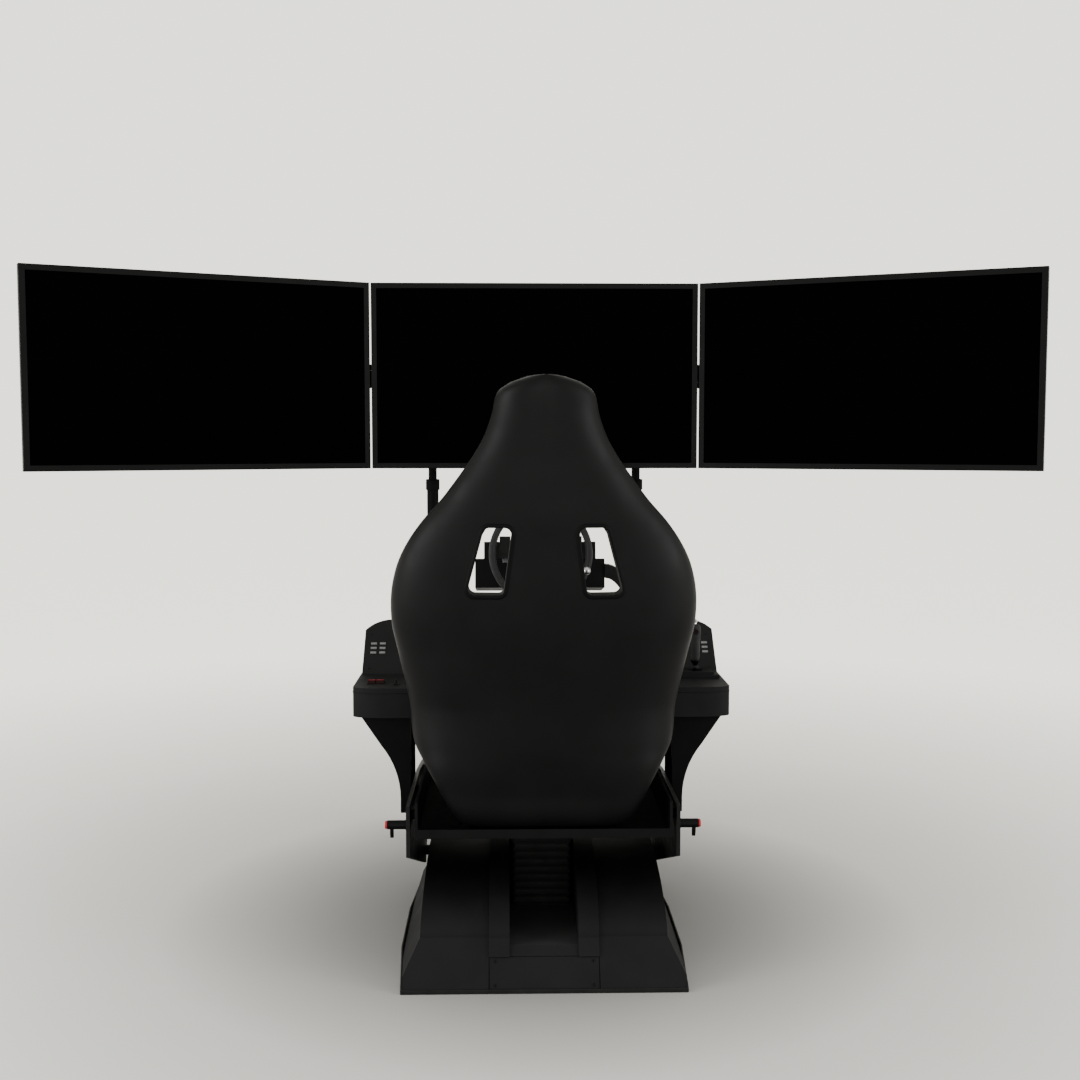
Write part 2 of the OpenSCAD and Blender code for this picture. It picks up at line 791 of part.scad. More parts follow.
module stick_shaft() {
  color(steel) {
    rod_z(pivot_z - 10, plate_z + 15, stick_x, stick_y, 3.5);
    translate([stick_x, stick_y, pivot_z]) sphere(r = 7, $fn = 32);
    rod_x(stick_x - 21.5, stick_x + 21.5, stick_y, pivot_z, 2.5);
    // V-shaped collar under the grip
    translate([stick_x, stick_y, plate_z + 11]) cylinder(h = 9, r1 = 4, r2 = 10, $fn = 40);
    rod_z(plate_z + 19, plate_z + 22, stick_x, stick_y, 10);
  }
}
grip_z = plate_z + 22;
// Radius of the grip by height, as a share of its length: narrow waist, full head
GRIP = [
  [0, 9.3], [0.06, 10.4], [0.2, 10.6], [0.38, 10.8], [0.52, 11.4], [0.66, 12.4], [0.8, 13], [0.92, 12.4], [1, 9.6]
];
module grip_solid() {
  translate([stick_x, stick_y, grip_z]) rotate_extrude($fn = 48)
    polygon(concat([[0, 0]], [for (g = GRIP) [g[1], g[0] * grip_h]], [[0, grip_h]]));
}
trigger_z = grip_z + 54;
trigger_pin = [stick_y + 6, trigger_z + 6];
thumb_z = grip_z + 66;
pin_half = 7;                  // half the length of the trigger's pin
hat_y = stick_y;
module grip_cuts() {
  // slot for the trigger in front, bore for the hat on top, bore for the thumb button behind
  block([stick_x - 4.5, stick_y + 0.5, trigger_z - 18], [stick_x + 4.5, stick_y + 30, trigger_z + 12]);
  rod_x(stick_x - pin_half - gap, stick_x + pin_half + gap, trigger_pin[0], trigger_pin[1], 1.5 + fit);
  rod_z(grip_z + grip_h - 8, grip_z + grip_h + 4, stick_x, hat_y, 7);
  rod_y(stick_y - 30, stick_y - 5, stick_x, thumb_z, 3.9);
}
module grip_left() {
  color(dark) intersection() {
    difference() {
      grip_solid();
      grip_cuts();
    }
    block([0, stick_y - 50, 0], [stick_x - 0.05, stick_y + 50, 900]);
  }
}
module grip_right() {
  color(dark) intersection() {
    difference() {
      grip_solid();
      grip_cuts();
    }
    block([stick_x + 0.05, stick_y - 50, 0], [600, stick_y + 50, 900]);
  }
}
module trigger() {             // index-finger trigger on a pin held between the grip's halves
  color(red) rod_x(stick_x - pin_half, stick_x + pin_half, trigger_pin[0], trigger_pin[1], 1.5);
  color(red) across(stick_x - 4, stick_x + 4) polygon([
    [stick_y + 3, trigger_z + 10], [stick_y + 10, trigger_z + 10], [stick_y + 17, trigger_z - 2],
    [stick_y + 20, trigger_z - 14], [stick_y + 16, trigger_z - 14], [stick_y + 11, trigger_z - 4],
    [stick_y + 3, trigger_z + 3]
  ]);
}
module hat_switch() {
  z = grip_z + grip_h;
  color(steel) {
    rod_z(z - 7, z + 4, stick_x, hat_y, 2.5);
    translate([stick_x, hat_y, z + 3.5]) cylinder(h = 7, r1 = 4, r2 = 6, $fn = 32);
  }
}
module thumb_button() {
  color(red) rod_y(stick_y - 14, stick_y - 7, stick_x, thumb_z, 3.5);
}

base_shell();
access_panel();
floor_skirt();
base_frame();
lift_actuator();
bellows();
stand_frame();
post_sleeves();
pedal_box();
brake_pedal();
throttle_pedal();
screen_mast();
centre_case();
centre_screen();
left_case();
left_screen();
right_case();
right_screen();
seat_tray();
side_plates();
left_arm();
right_arm();
wheel_column();
wheel_brace();
left_console();
left_fascia();
right_console();
right_fascia();
seat_shell();
back_cushion();
seat_cushion();
seat_runners();
left_lever();
right_lever();
wheel_base();
wheel_rim();
wheel_button();
spinner_knob();
left_paddle();
right_paddle();
stick_plate();
gimbal_ring();
stick_shaft();
grip_left();
grip_right();
trigger();
hat_switch();
thumb_button();
rocker_left();
rocker_right();
toggle_switch();
left_key_1();
left_key_2();
left_key_3();
left_key_4();
left_key_5();
left_key_6();
right_key_1();
right_key_2();
right_key_3();
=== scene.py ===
"""Looks of the flight simulator cockpit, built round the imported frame. Sizes are in metres."""
import json
from math import asin, atan2, copysign, cos, degrees, dist, exp, hypot, pi, radians, sin, sqrt

import bmesh
import bpy
from mathutils import Matrix, Vector
from mathutils.bvhtree import BVHTree
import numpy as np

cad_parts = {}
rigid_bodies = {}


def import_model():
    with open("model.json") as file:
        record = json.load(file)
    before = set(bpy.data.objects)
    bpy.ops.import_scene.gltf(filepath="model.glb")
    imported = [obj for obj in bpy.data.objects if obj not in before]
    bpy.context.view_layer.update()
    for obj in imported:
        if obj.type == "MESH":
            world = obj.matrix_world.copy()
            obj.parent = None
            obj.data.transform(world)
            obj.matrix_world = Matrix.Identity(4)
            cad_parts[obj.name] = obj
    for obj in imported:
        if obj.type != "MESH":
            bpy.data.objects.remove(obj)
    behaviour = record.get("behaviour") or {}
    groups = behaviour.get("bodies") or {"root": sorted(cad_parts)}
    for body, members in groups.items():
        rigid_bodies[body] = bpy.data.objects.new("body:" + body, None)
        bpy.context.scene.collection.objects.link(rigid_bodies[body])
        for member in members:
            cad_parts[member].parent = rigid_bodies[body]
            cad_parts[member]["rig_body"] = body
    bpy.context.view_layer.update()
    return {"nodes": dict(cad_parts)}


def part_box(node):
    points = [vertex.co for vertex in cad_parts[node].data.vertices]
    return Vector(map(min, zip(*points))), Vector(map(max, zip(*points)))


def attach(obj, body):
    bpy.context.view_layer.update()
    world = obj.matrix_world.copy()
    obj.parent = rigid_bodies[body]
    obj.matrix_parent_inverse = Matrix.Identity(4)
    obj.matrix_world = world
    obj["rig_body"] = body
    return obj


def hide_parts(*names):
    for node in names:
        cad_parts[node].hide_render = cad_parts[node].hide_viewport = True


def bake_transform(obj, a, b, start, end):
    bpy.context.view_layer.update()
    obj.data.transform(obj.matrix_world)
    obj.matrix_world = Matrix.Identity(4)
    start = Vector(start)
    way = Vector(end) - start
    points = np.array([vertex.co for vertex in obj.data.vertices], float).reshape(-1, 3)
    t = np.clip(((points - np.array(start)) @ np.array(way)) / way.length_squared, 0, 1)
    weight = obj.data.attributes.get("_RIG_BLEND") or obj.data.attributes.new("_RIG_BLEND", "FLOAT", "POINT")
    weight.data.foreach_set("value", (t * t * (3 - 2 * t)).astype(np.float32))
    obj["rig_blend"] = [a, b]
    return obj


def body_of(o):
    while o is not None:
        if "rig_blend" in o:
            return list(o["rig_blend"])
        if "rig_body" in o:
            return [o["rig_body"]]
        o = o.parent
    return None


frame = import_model()
scene = bpy.context.scene

MM = 0.001
UP = Vector((0, 0, 1))


def box_of(node):
    """Lowest corner, highest corner and middle of a CAD node."""
    lo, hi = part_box(node)
    return lo, hi, (lo + hi) / 2


# ---------- camera, floor and light ----------

def new_object(name, data):
    obj = bpy.data.objects.new(name, data)
    scene.collection.objects.link(obj)
    return obj


def make_camera():
    """Eye level camera straight behind the seat, a little left of it and turned slightly right."""
    data = bpy.data.cameras.new("camera")
    data.lens = 44.55
    data.sensor_width = 36
    scene.camera = new_object("camera", data)
    scene.camera.location = (-0.0677, -2.942, 1.099)
    scene.camera.rotation_euler = (radians(85.756), 0, radians(-1.287))


def make_light(name, kind, at, target, energy):
    """A light at one point, aimed at another."""
    data = bpy.data.lights.new(name, kind)
    data.energy = energy
    light = new_object(name, data)
    light.location = at
    light.rotation_mode = "QUATERNION"
    light.rotation_quaternion = (Vector(target) - light.location).to_track_quat("-Z", "Y")
    return data


STUDIO = (0.80, 0.79, 0.722)
WORLD_STRENGTH = 2.65
FLOOR_HALF = 40
# Painted shadow on the floor: tones, as (share of the reach, tone), darken towards the middle under the
# cockpit
FLOOR_SHADOW_REACH = 4.0      # distance from the middle over which the tones below are spread
PAINTED_FLOOR_SHADOW = [(0.0, 0.10), (0.11, 0.12), (0.17, 0.205), (0.22, 0.285), (0.43, 0.44), (0.75, 0.76),
               (1.0, 0.95)]
# name, place, target, width and height, and watts of each soft light
PANELS = [("left_panel", (-3.2, -1.4, 1.1), (0, -0.2, 0.7), (1.6, 2.0), 205),
          ("right_panel", (3.2, -1.4, 1.1), (0, -0.2, 0.7), (1.6, 2.0), 160),
          ("front_fill", (0, -4.6, 0.7), (0, 0, 0.3), (3.0, 1.2), 110)]


def make_studio():
    """Pale surroundings, the floor and the lights."""
    world = bpy.data.worlds.new("studio")
    world.use_nodes = True
    background = world.node_tree.nodes["Background"]
    background.inputs["Color"].default_value = (*STUDIO, 1)
    background.inputs["Strength"].default_value = WORLD_STRENGTH
    scene.world = world

    mesh = bpy.data.meshes.new("floor")
    corners = [(sx * FLOOR_HALF, sy * FLOOR_HALF, 0) for sx, sy in ((-1, -1), (1, -1), (1, 1), (-1, 1))]
    mesh.from_pydata(corners, [], [(0, 1, 2, 3)])
    mesh.materials.append(floor_material())
    floor = new_object("floor", mesh)

    make_light("sky_panel", "SUN", (0, 0, 4), (0, 0.6, 0), 0.7).angle = radians(100)
    for name, at, target, size, watts in PANELS:
        data = make_light(name, "AREA", at, target, watts)
        data.shape = "RECTANGLE"
        data.size, data.size_y = size


# ---------- materials ----------

class Finish:
    """A Principled material with the noise, tint, roughness and bump chains that the surfaces use."""

    def __init__(self, name, colour, rough, specular=0.3, metallic=0.0):
        self.material = bpy.data.materials.new(name)
        self.material.use_nodes = True
        self.tree = self.material.node_tree
        self.shader = self.tree.nodes["Principled BSDF"]
        self.colour = colour
        self.normal = None
        self.put(self.shader, "Base Color", (*colour, 1))
        self.put(self.shader, "Roughness", rough)
        self.put(self.shader, "Specular IOR Level", specular)
        self.put(self.shader, "Metallic", metallic)
        self.coords = self.tree.nodes.new("ShaderNodeTexCoord").outputs["Object"]

    def put(self, node, socket, value):
        node.inputs[socket].default_value = value

    def stretched(self, stretch):
        mapping = self.tree.nodes.new("ShaderNodeMapping")
        self.put(mapping, "Scale", stretch)
        self.link(self.coords, mapping, "Vector")
        return mapping.outputs["Vector"]

    def link(self, output, node, socket):
        self.tree.links.new(output, node.inputs[socket])

    def noise(self, size, detail=3.0, stretch=(1, 1, 1), warp=0.0):
        """Noise whose features are about size metres across."""
        node = self.tree.nodes.new("ShaderNodeTexNoise")
        self.put(node, "Scale", 1 / size)
        self.put(node, "Detail", detail)
        self.put(node, "Distortion", warp)
        self.link(self.stretched(stretch), node, "Vector")
        return node.outputs[0]

    def cells(self, size):
        """Distance from the edges of cells about size metres across."""
        node = self.tree.nodes.new("ShaderNodeTexVoronoi")
        node.feature = "DISTANCE_TO_EDGE"
        self.put(node, "Scale", 1 / size)
        self.link(self.coords, node, "Vector")
        return node.outputs["Distance"]

    def spread(self, value, low, high, start=0.3, end=0.7):
        node = self.tree.nodes.new("ShaderNodeMapRange")
        self.put(node, "From Min", start)
        self.put(node, "From Max", end)
        self.put(node, "To Min", low)
        self.put(node, "To Max", high)
        self.link(value, node, "Value")
        return node.outputs["Result"]

    def base_between(self, factor, dark, light):
        """Base colour between dark and light times the finish's own colour."""
        mix = self.tree.nodes.new("ShaderNodeMix")
        mix.data_type = "RGBA"
        colours = [socket for socket in mix.inputs if socket.type == "RGBA"]
        for socket, share in zip(colours, (dark, light)):
            socket.default_value = (*[min(1.0, c * share) for c in self.colour], 1)
        self.link(factor, mix, "Factor")
        result = [socket for socket in mix.outputs if socket.type == "RGBA"][0]
        self.link(result, self.shader, "Base Color")

    def tint(self, value, dark, light):
        self.base_between(self.spread(value, 0, 1), dark, light)

    def painted_shade_above(self, low, high, share):
        """Painted shade: base colour that falls to a share of itself between two heights, darker higher up
        where the seat overhangs, with a little random tone.
        """
        parts = self.tree.nodes.new("ShaderNodeSeparateXYZ")
        self.link(self.coords, parts, "Vector")
        fade = self.spread(parts.outputs["Z"], 0.8, 0.0, low, high)
        cloud = self.spread(self.noise(90 * MM, 4), 0.0, 0.2)
        total = self.tree.nodes.new("ShaderNodeMath")
        total.operation = "ADD"
        self.link(fade, total, 0)
        self.link(cloud, total, 1)
        self.base_between(total.outputs[0], share, 1)

    def roughness(self, value, low, high):
        self.link(self.spread(value, low, high), self.shader, "Roughness")

    def bump(self, height, depth):
        node = self.tree.nodes.new("ShaderNodeBump")
        self.put(node, "Strength", 1.0)
        self.put(node, "Distance", depth)
        self.link(height, node, "Height")
        if self.normal is not None:
            self.link(self.normal, node, "Normal")
        self.normal = node.outputs["Normal"]
        self.link(self.normal, self.shader, "Normal")


def floor_material():
    """Pale paper floor with a painted shadow that darkens it softly round where the cockpit stands."""
    f = Finish("floor_with_painted_shadow", (1, 1, 1), 0.9, 0.1)
    shift = f.tree.nodes.new("ShaderNodeMapping")
    f.put(shift, "Location", (0, -0.15, 0))
    f.link(f.coords, shift, "Vector")
    length = f.tree.nodes.new("ShaderNodeVectorMath")
    length.operation = "LENGTH"
    f.link(shift.outputs["Vector"], length, 0)
    ramp = f.tree.nodes.new("ShaderNodeValToRGB")
    ramp.color_ramp.interpolation = "B_SPLINE"
    f.link(f.spread(length.outputs["Value"], 0.0, 1.0, 0.0, FLOOR_SHADOW_REACH), ramp, "Fac")
    stops = ramp.color_ramp.elements
    while len(stops) < len(PAINTED_FLOOR_SHADOW):
        stops.new(0.5)
    for stop, (share, tone) in zip(stops, PAINTED_FLOOR_SHADOW):
        stop.position = share
        stop.color = (tone, tone * 0.985, tone * 0.96, 1)
    f.link(ramp.outputs["Color"], f.shader, "Base Color")
    return f.material


def surface(f, tint, sheen, bumps, along=(1, 1, 1)):
    """Noise on finish f, sizes in mm. Tint is (size, detail, dark, light) and sheen (size, detail, low, high)
    for roughness, and each bump is (size, detail, depth)."""
    if tint:
        f.tint(f.noise(tint[0] * MM, tint[1], along), *tint[2:])
    f.roughness(f.noise(sheen[0] * MM, sheen[1], along), *sheen[2:])
    for size, detail, depth in bumps:
        f.bump(f.noise(size * MM, detail, along), depth * MM)
    return f.material


def moulded(name, colour, rough=0.5, specular=0.25, grain=0.9, depth=0.05):
    """Moulded plastic: fine spark-eroded grain, faint flow marks and handling sheen."""
    return surface(Finish(name, colour, rough, specular), (90, 4, 0.88, 1.15),
                   (60, 5, rough - 0.05, rough + 0.06), [(grain, 2, depth), (140, 1, 0.25)])


def pedestal_finish():
    """Moulded plastic with painted shade: darker above the aprons, under the seat."""
    f = Finish("pedestal_plastic", (0.0052, 0.0052, 0.0055), 0.6, 0.022)
    # painted shade: the pedestal's colour falls from 100 mm to 185 mm above the floor
    f.painted_shade_above(100 * MM, 185 * MM, 0.15)
    return surface(f, None, (60, 5, 0.55, 0.66), [(1.1, 2, 0.05), (140, 1, 0.25)])


def powder_coat(name, colour, rough=0.48, specular=0.07):
    """Powder coated steel: orange peel, a trace of dust and slightly uneven gloss."""
    return surface(Finish(name, colour, rough, specular), (50, 5, 0.85, 1.2),
                   (25, 4, rough - 0.06, rough + 0.08), [(1.6, 2, 0.06)])


def rubber(name, colour, rough=0.75):
    """Dull rubber with a fine grain."""
    return surface(Finish(name, colour, rough, 0.07), (30, 5, 0.8, 1.25),
                   (12, 4, rough - 0.08, rough + 0.1), [(0.7, 3, 0.06)])


def leather(name, colour, rough=0.5, pebble=1.6):
    """Grained leather: pebbles parted by fine creases, with longer wrinkles and worn sheen."""
    f = Finish(name, colour, rough, 0.09)
    f.bump(f.spread(f.cells(pebble * MM), 0, 1, 0.0, 0.16), 0.12 * MM)
    surface(f, (35, 6, 0.75, 1.3), (20, 5, rough - 0.1, rough + 0.1), [(pebble / 3, 2, 0.03)])
    f.bump(f.noise(28 * MM, 3, (1, 1, 0.4), 0.6), 0.5 * MM)
    return f.material


def brushed(name, colour, rough=0.32, along=(1, 1, 14)):
    """Bare metal with fine marks from machining or brushing, running across the stretched axis."""
    return surface(Finish(name, colour, rough, 0.5, 1.0), (3, 3, 0.86, 1.06),
                   (2, 3, rough - 0.08, rough + 0.12), [(0.9, 2, 0.02)], along)


def polished(name, colour, rough=0.1):
    """Bare metal without marks, only handling sheen."""
    return surface(Finish(name, colour, rough, 0.5, 1.0), (14, 3, 0.94, 1.03),
                   (6, 5, rough - 0.03, rough + 0.07), [])


def gloss(name, colour, rough=0.25, specular=0.5):
    """Smooth injection moulded plastic, such as buttons."""
    return surface(Finish(name, colour, rough, specular), (8, 4, 0.88, 1.1),
                   (5, 4, rough - 0.05, rough + 0.1), [(2.5, 2, 0.02)])


def screen_face(name):
    """Switched-off panel with an anti-glare layer that spreads reflections."""
    return surface(Finish(name, (0.00035, 0.00035, 0.00036), 0.4, 0.0), (120, 3, 0.92, 1.08),
                   (0.5, 2, 0.36, 0.46), [(0.4, 2, 0.004)])


PEDESTAL = pedestal_finish()
# Painted light: a lighter, shinier copy of the pedestal plastic for the channel floor
LIT_CHANNEL_COPY = moulded("channel_lit_copy", (0.0095, 0.0095, 0.0099), 0.6, 0.1, 1.1)
GAITER = rubber("gaiter_rubber", (0.0032, 0.0032, 0.0032))
RUBBER = rubber("black_rubber", (0.004, 0.004, 0.004))
STEEL_BLACK = powder_coat("black_steel", (0.0020, 0.0020, 0.0021))
ARM_BLACK = powder_coat("arm_black", (0.0015, 0.0015, 0.0016), 0.6, 0.018)
# Painted light: lit and shaded copies of the seat tray's one paint, set by which way each face turns
TRAY_LIT_COPY = powder_coat("tray_lit_copy", (0.0021, 0.0021, 0.0022), 0.58, 0.025)
TRAY_SHADED_COPY = powder_coat("tray_shaded_copy", (0.0011, 0.0011, 0.0012), 0.7, 0.008)
TRIM = moulded("slot_trim", (0.0013, 0.0013, 0.0014), 0.55, 0.025)
COLLAR = moulded("collar_black", (0.0006, 0.0006, 0.0006), 0.6, 0.01)
STEEL_BARE = brushed("bare_steel", (0.30, 0.30, 0.31))
ACTUATOR = powder_coat("actuator_paint", (0.03, 0.031, 0.033))
ALUMINIUM = brushed("pedal_metal", (0.36, 0.36, 0.37), 0.34, (14, 1, 1))
CASE = moulded("screen_case", (0.0018, 0.0018, 0.0019), 0.5, 0.034, 0.7)
PANEL = screen_face("screen_panel")
CONSOLE = moulded("console_plastic", (0.0042, 0.0042, 0.0044), 0.6, 0.02, 0.8)
FASCIA = moulded("fascia_plastic", (0.0038, 0.0038, 0.0040), 0.6, 0.032, 0.6)
SEAT_SKIN = moulded("seat_skin", (0.0019, 0.0019, 0.0020), 0.46, 0.037, 1.3, 0.08)
LEATHER = leather("upholstery", (0.006, 0.006, 0.0063))
PIPING = leather("piping_leather", (0.012, 0.012, 0.0125), 0.42, 0.9)
THREAD = rubber("thread", (0.04, 0.04, 0.042), 0.7)
LEVER = powder_coat("lever_black", (0.0012, 0.0012, 0.0013), 0.5, 0.04)
RED_RING = gloss("red_ring", (0.20, 0.008, 0.012), 0.45, 0.08)
RIM_LEATHER = leather("rim_leather", (0.0045, 0.0045, 0.0048), 0.5, 1.1)
PADDLE = brushed("paddle_metal", (0.10, 0.10, 0.105), 0.35, (1, 14, 1))
CHROME = polished("knob_metal", (0.22, 0.22, 0.22), 0.3)
GRIP = rubber("grip_rubber", (0.006, 0.006, 0.0063), 0.65)
RED = gloss("red_plastic", (0.10, 0.004, 0.006), 0.35, 0.2)
# Painted highlight: brighter red for the strip along each rocker's crest
RED_PAINTED_HIGHLIGHT = gloss("red_painted_highlight", (0.16, 0.006, 0.012), 0.45, 0.06)
ROCKER = gloss("rocker_dark", (0.005, 0.0010, 0.0012), 0.5, 0.03)
SATIN = brushed("switch_metal", (0.45, 0.45, 0.46), 0.25)
PALE = gloss("pale_key", (0.062, 0.062, 0.061), 0.5, 0.05)
BOLT = powder_coat("bolt_black", (0.0025, 0.0025, 0.0026), 0.5, 0.04)

# ---------- mesh helpers ----------

def body_of_node(node):
    return body_of(frame["nodes"][node])[0]


def smooth(mesh, angle=32):
    for face in mesh.polygons:
        face.use_smooth = True
    mesh.set_sharp_from_angle(angle=radians(angle))


def settle(obj):
    """Applies obj's modifiers to its mesh."""
    depsgraph = bpy.context.evaluated_depsgraph_get()
    mesh = bpy.data.meshes.new_from_object(obj.evaluated_get(depsgraph), depsgraph=depsgraph)
    obj.modifiers.clear()
    old = obj.data
    obj.data = mesh
    bpy.data.meshes.remove(old)


def modify(obj, kind, **settings):
    """Applies one modifier with the given settings to obj."""
    modifier = obj.modifiers.new(kind.lower(), kind)
    for name, value in settings.items():
        setattr(modifier, name, value)
    settle(obj)


def place(obj, body, paint, nodes=()):
    """Paints obj, fixes it to its body and hides the CAD nodes it stands for."""
    paints = paint if isinstance(paint, (list, tuple)) else [paint]
    obj.data.materials.clear()
    for p in paints:
        obj.data.materials.append(p)
    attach(obj, body)
    if nodes:
        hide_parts(*nodes)
    return obj


def as_object(bm, name="tool", angle=32):
    """An object from a bmesh, with faces smooth up to angle. The bmesh is used up."""
    bmesh.ops.recalc_face_normals(bm, faces=bm.faces)
    mesh = bpy.data.meshes.new(name)
    bm.to_mesh(mesh)
    bm.free()
    smooth(mesh, angle)
    return new_object(name, mesh)


def taken(obj):
    """A bmesh from an object, which is used up."""
    bm = bmesh.new()
    bm.from_mesh(obj.data)
    bpy.data.objects.remove(obj)
    return bm


def made(name, bm, body, paint, nodes=(), angle=32):
    """A finished piece from a bmesh."""
    return place(as_object(bm, name, angle), body, paint, nodes)


def round_edges(bm, width, angle=33, segments=2):
    """Rounds edges sharper than angle degrees by width mm."""
    sharp = [e for e in bm.edges if len(e.link_faces) == 2 and e.calc_face_angle(0) > radians(angle)]
    bmesh.ops.bevel(bm, geom=sharp, offset=width * MM, offset_type="OFFSET", segments=segments,
                    profile=0.5, affect="EDGES", clamp_overlap=True, loop_slide=True)
    return bm


def weighted(obj):
    """Flat faces keep flat shading up to their rounded edges."""
    modify(obj, "WEIGHTED_NORMAL", keep_sharp=True)


def cad_copy(node):
    """The CAD node's mesh, with its flat faces whole again."""
    bm = bmesh.new()
    bm.from_mesh(frame["nodes"][node].data)
    bmesh.ops.remove_doubles(bm, verts=bm.verts, dist=0.01 * MM)
    bmesh.ops.dissolve_limit(bm, angle_limit=radians(0.5), verts=bm.verts, edges=bm.edges)
    return bm


def finished(node, width, paint, angle=33, segments=2):
    """A CAD node with edges rounded by width mm, in a real finish."""
    bm = round_edges(cad_copy(node), width, angle, segments)
    obj = made(node + "_made", bm, body_of_node(node), paint, [node])
    weighted(obj)
    return obj


def painted(node, paint):
    """A CAD node that stays as it is, in a real finish."""
    obj = frame["nodes"][node]
    for s in obj.material_slots:
        s.material = paint


def bridge(bm, a, b):
    """Faces between two closed rings of the same number of vertices."""
    for j in range(len(a)):
        k = (j + 1) % len(a)
        bm.faces.new((a[j], a[k], b[k], b[j]))


def loft(bm, rings):
    """Faces between closed rings of points. Each ring has the same number of points."""
    rows = [[bm.verts.new(p) for p in ring] for ring in rings]
    for a, b in zip(rows, rows[1:]):
        bridge(bm, a, b)
    return rows


def solid(rings):
    """Closed shape through rings, with a flat cap on each end."""
    bm = bmesh.new()
    rows = loft(bm, rings)
    bm.faces.new(rows[0][::-1])
    bm.faces.new(rows[-1])
    return bm


def looped(rings):
    """Closed shape through rings, from the last one back to the first."""
    bm = bmesh.new()
    rows = loft(bm, rings)
    bridge(bm, rows[-1], rows[0])
    return bm


def circle(radius, count, z=0.0, at=(0, 0)):
    """Points round a circle about at, anticlockwise."""
    turns = [2 * pi * k / count for k in range(count)]
    return [(at[0] + radius * cos(t), at[1] + radius * sin(t), z) for t in turns]


def prism(outline, axis, low, high):
    """Outline extruded from low to high along axis. On X it holds (y, z), on Y (x, z) and on Z (x, y)."""
    def at(p, t):
        return {"X": (t, p[0], p[1]), "Y": (p[0], t, p[1]), "Z": (p[0], p[1], t)}[axis]
    return solid([[at(p, t) for p in outline] for t in (low, high)])


def cube(low, high):
    x0, y0, z0 = low
    x1, y1, z1 = high
    return prism([(x0, y0), (x1, y0), (x1, y1), (x0, y1)], "Z", z0, z1)


def combine(base, bm, operation="DIFFERENCE"):
    """Boolean of an object and a bmesh, left on the object. The bmesh is used up."""
    tool = as_object(bm)
    modify(base, "BOOLEAN", operation=operation, solver="EXACT", object=tool)
    bpy.data.objects.remove(tool)
    return base


def turned(bm, origin, direction):
    """Turns a mesh made along +Z to direction and moves it to origin."""
    turn = Vector(direction).to_track_quat("Z", "Y").to_matrix().to_4x4()
    bm.transform(Matrix.Translation(Vector(origin)) @ turn)
    return bm


def lathe(profile, sides=32):
    """Turned shape about Z. The profile is (radius, z) in mm from the bottom to the top."""
    return solid([circle(r * MM, sides, z * MM) for r, z in profile])


def moved(bm, x, y, z=0.0):
    bm.transform(Matrix.Translation((x, y, z)))
    return bm


def merged(parts):
    """One mesh from several."""
    bm = bmesh.new()
    for part in parts:
        mesh = bpy.data.meshes.new("part")
        part.to_mesh(mesh)
        part.free()
        bm.from_mesh(mesh)
        bpy.data.meshes.remove(mesh)
    return bm


def button_head(origin, direction, radius):
    """Button-head screw with a hexagon socket, radius mm."""
    dome = [(radius * cos(radians(a)), radius * 0.55 * sin(radians(a))) for a in range(0, 61, 12)]
    top = dome[-1][1] * MM
    head = as_object(lathe([(radius * 0.96, -radius * 0.2)] + dome, 20))
    combine(head, prism(circle(radius * 0.48 * MM, 6), "Z", top * 0.35, top * 2))
    return turned(taken(head), origin, direction)


def screws(name, body, spots, radius, paint=BOLT):
    """Screw heads of radius mm at each (origin, direction)."""
    made(name, merged([button_head(p, d, radius) for p, d in spots]), body, paint)


def tube_mesh(points, radius, sides=10):
    """Round tube along points, with a frame carried from each point to the next."""
    pts = [Vector(p) for p in points]
    side = (pts[1] - pts[0]).orthogonal()
    rings = []
    for before, p, after in zip(pts[:1] + pts, pts, pts[1:] + pts[-1:]):
        along = (after - before).normalized()
        side = (side - along * side.dot(along)).normalized()
        other = along.cross(side)
        rings.append([p + side * x + other * y for x, y, _ in circle(radius, sides)])
    return solid(rings)


# ---------- pedestal ----------

_, BASE_HI, _ = box_of("floor_skirt")
BASE_L = BASE_HI.y - 4 * MM
BASE_W = BASE_HI.x - 4 * MM
APRON_H = 93 * MM
HUMP_H = 112 * MM
CHANNEL_W = 70 * MM
CHANNEL_FLOOR = 79 * MM
RIB_W = 42 * MM
TILT_Y, TILT_Z = 235 * MM, 112 * MM
WAIST_Y = 120 * MM               # the plan is full width this far each side of the middle
CHANNEL_END = 74 * MM
PANEL_HALF, PANEL_TOP = 112 * MM, 61 * MM      # recess for the access panel


def pedestal_side(rise):
    """Side view: straight aprons, then half an ellipse over the top."""
    a = BASE_L - 58 * MM + rise / 2
    b = HUMP_H + rise
    arch = [(a * cos(radians(t)), APRON_H + b * sin(radians(t))) for t in range(0, 181, 2)]
    return [(-BASE_L, 3 * MM), (BASE_L, 3 * MM)] + arch


def pedestal_body(rise):
    """Outer shape of the pedestal, with its arch lifted by rise."""
    w, l = BASE_W, BASE_L
    foot, lean, shoulder, in_x, above = 3 * MM, 48 * MM, 54 * MM, 16 * MM, 230 * MM
    w_foot = w - lean * foot / APRON_H
    rear = [(-w_foot, foot), (w_foot, foot), (w - lean, APRON_H), (w - shoulder, above),
            (-w + shoulder, above), (-w + lean, APRON_H)]
    plan = [(-w + in_x, -l), (w - in_x, -l), (w, -WAIST_Y), (w, WAIST_Y), (w - in_x, l), (-w + in_x, l),
            (-w, WAIST_Y), (-w, -WAIST_Y)]
    body = as_object(prism(pedestal_side(rise), "X", -0.4, 0.4))
    combine(body, prism(rear, "Y", -0.5, 0.5), "INTERSECT")
    return combine(body, prism(plan, "Z", 0, 0.3), "INTERSECT")


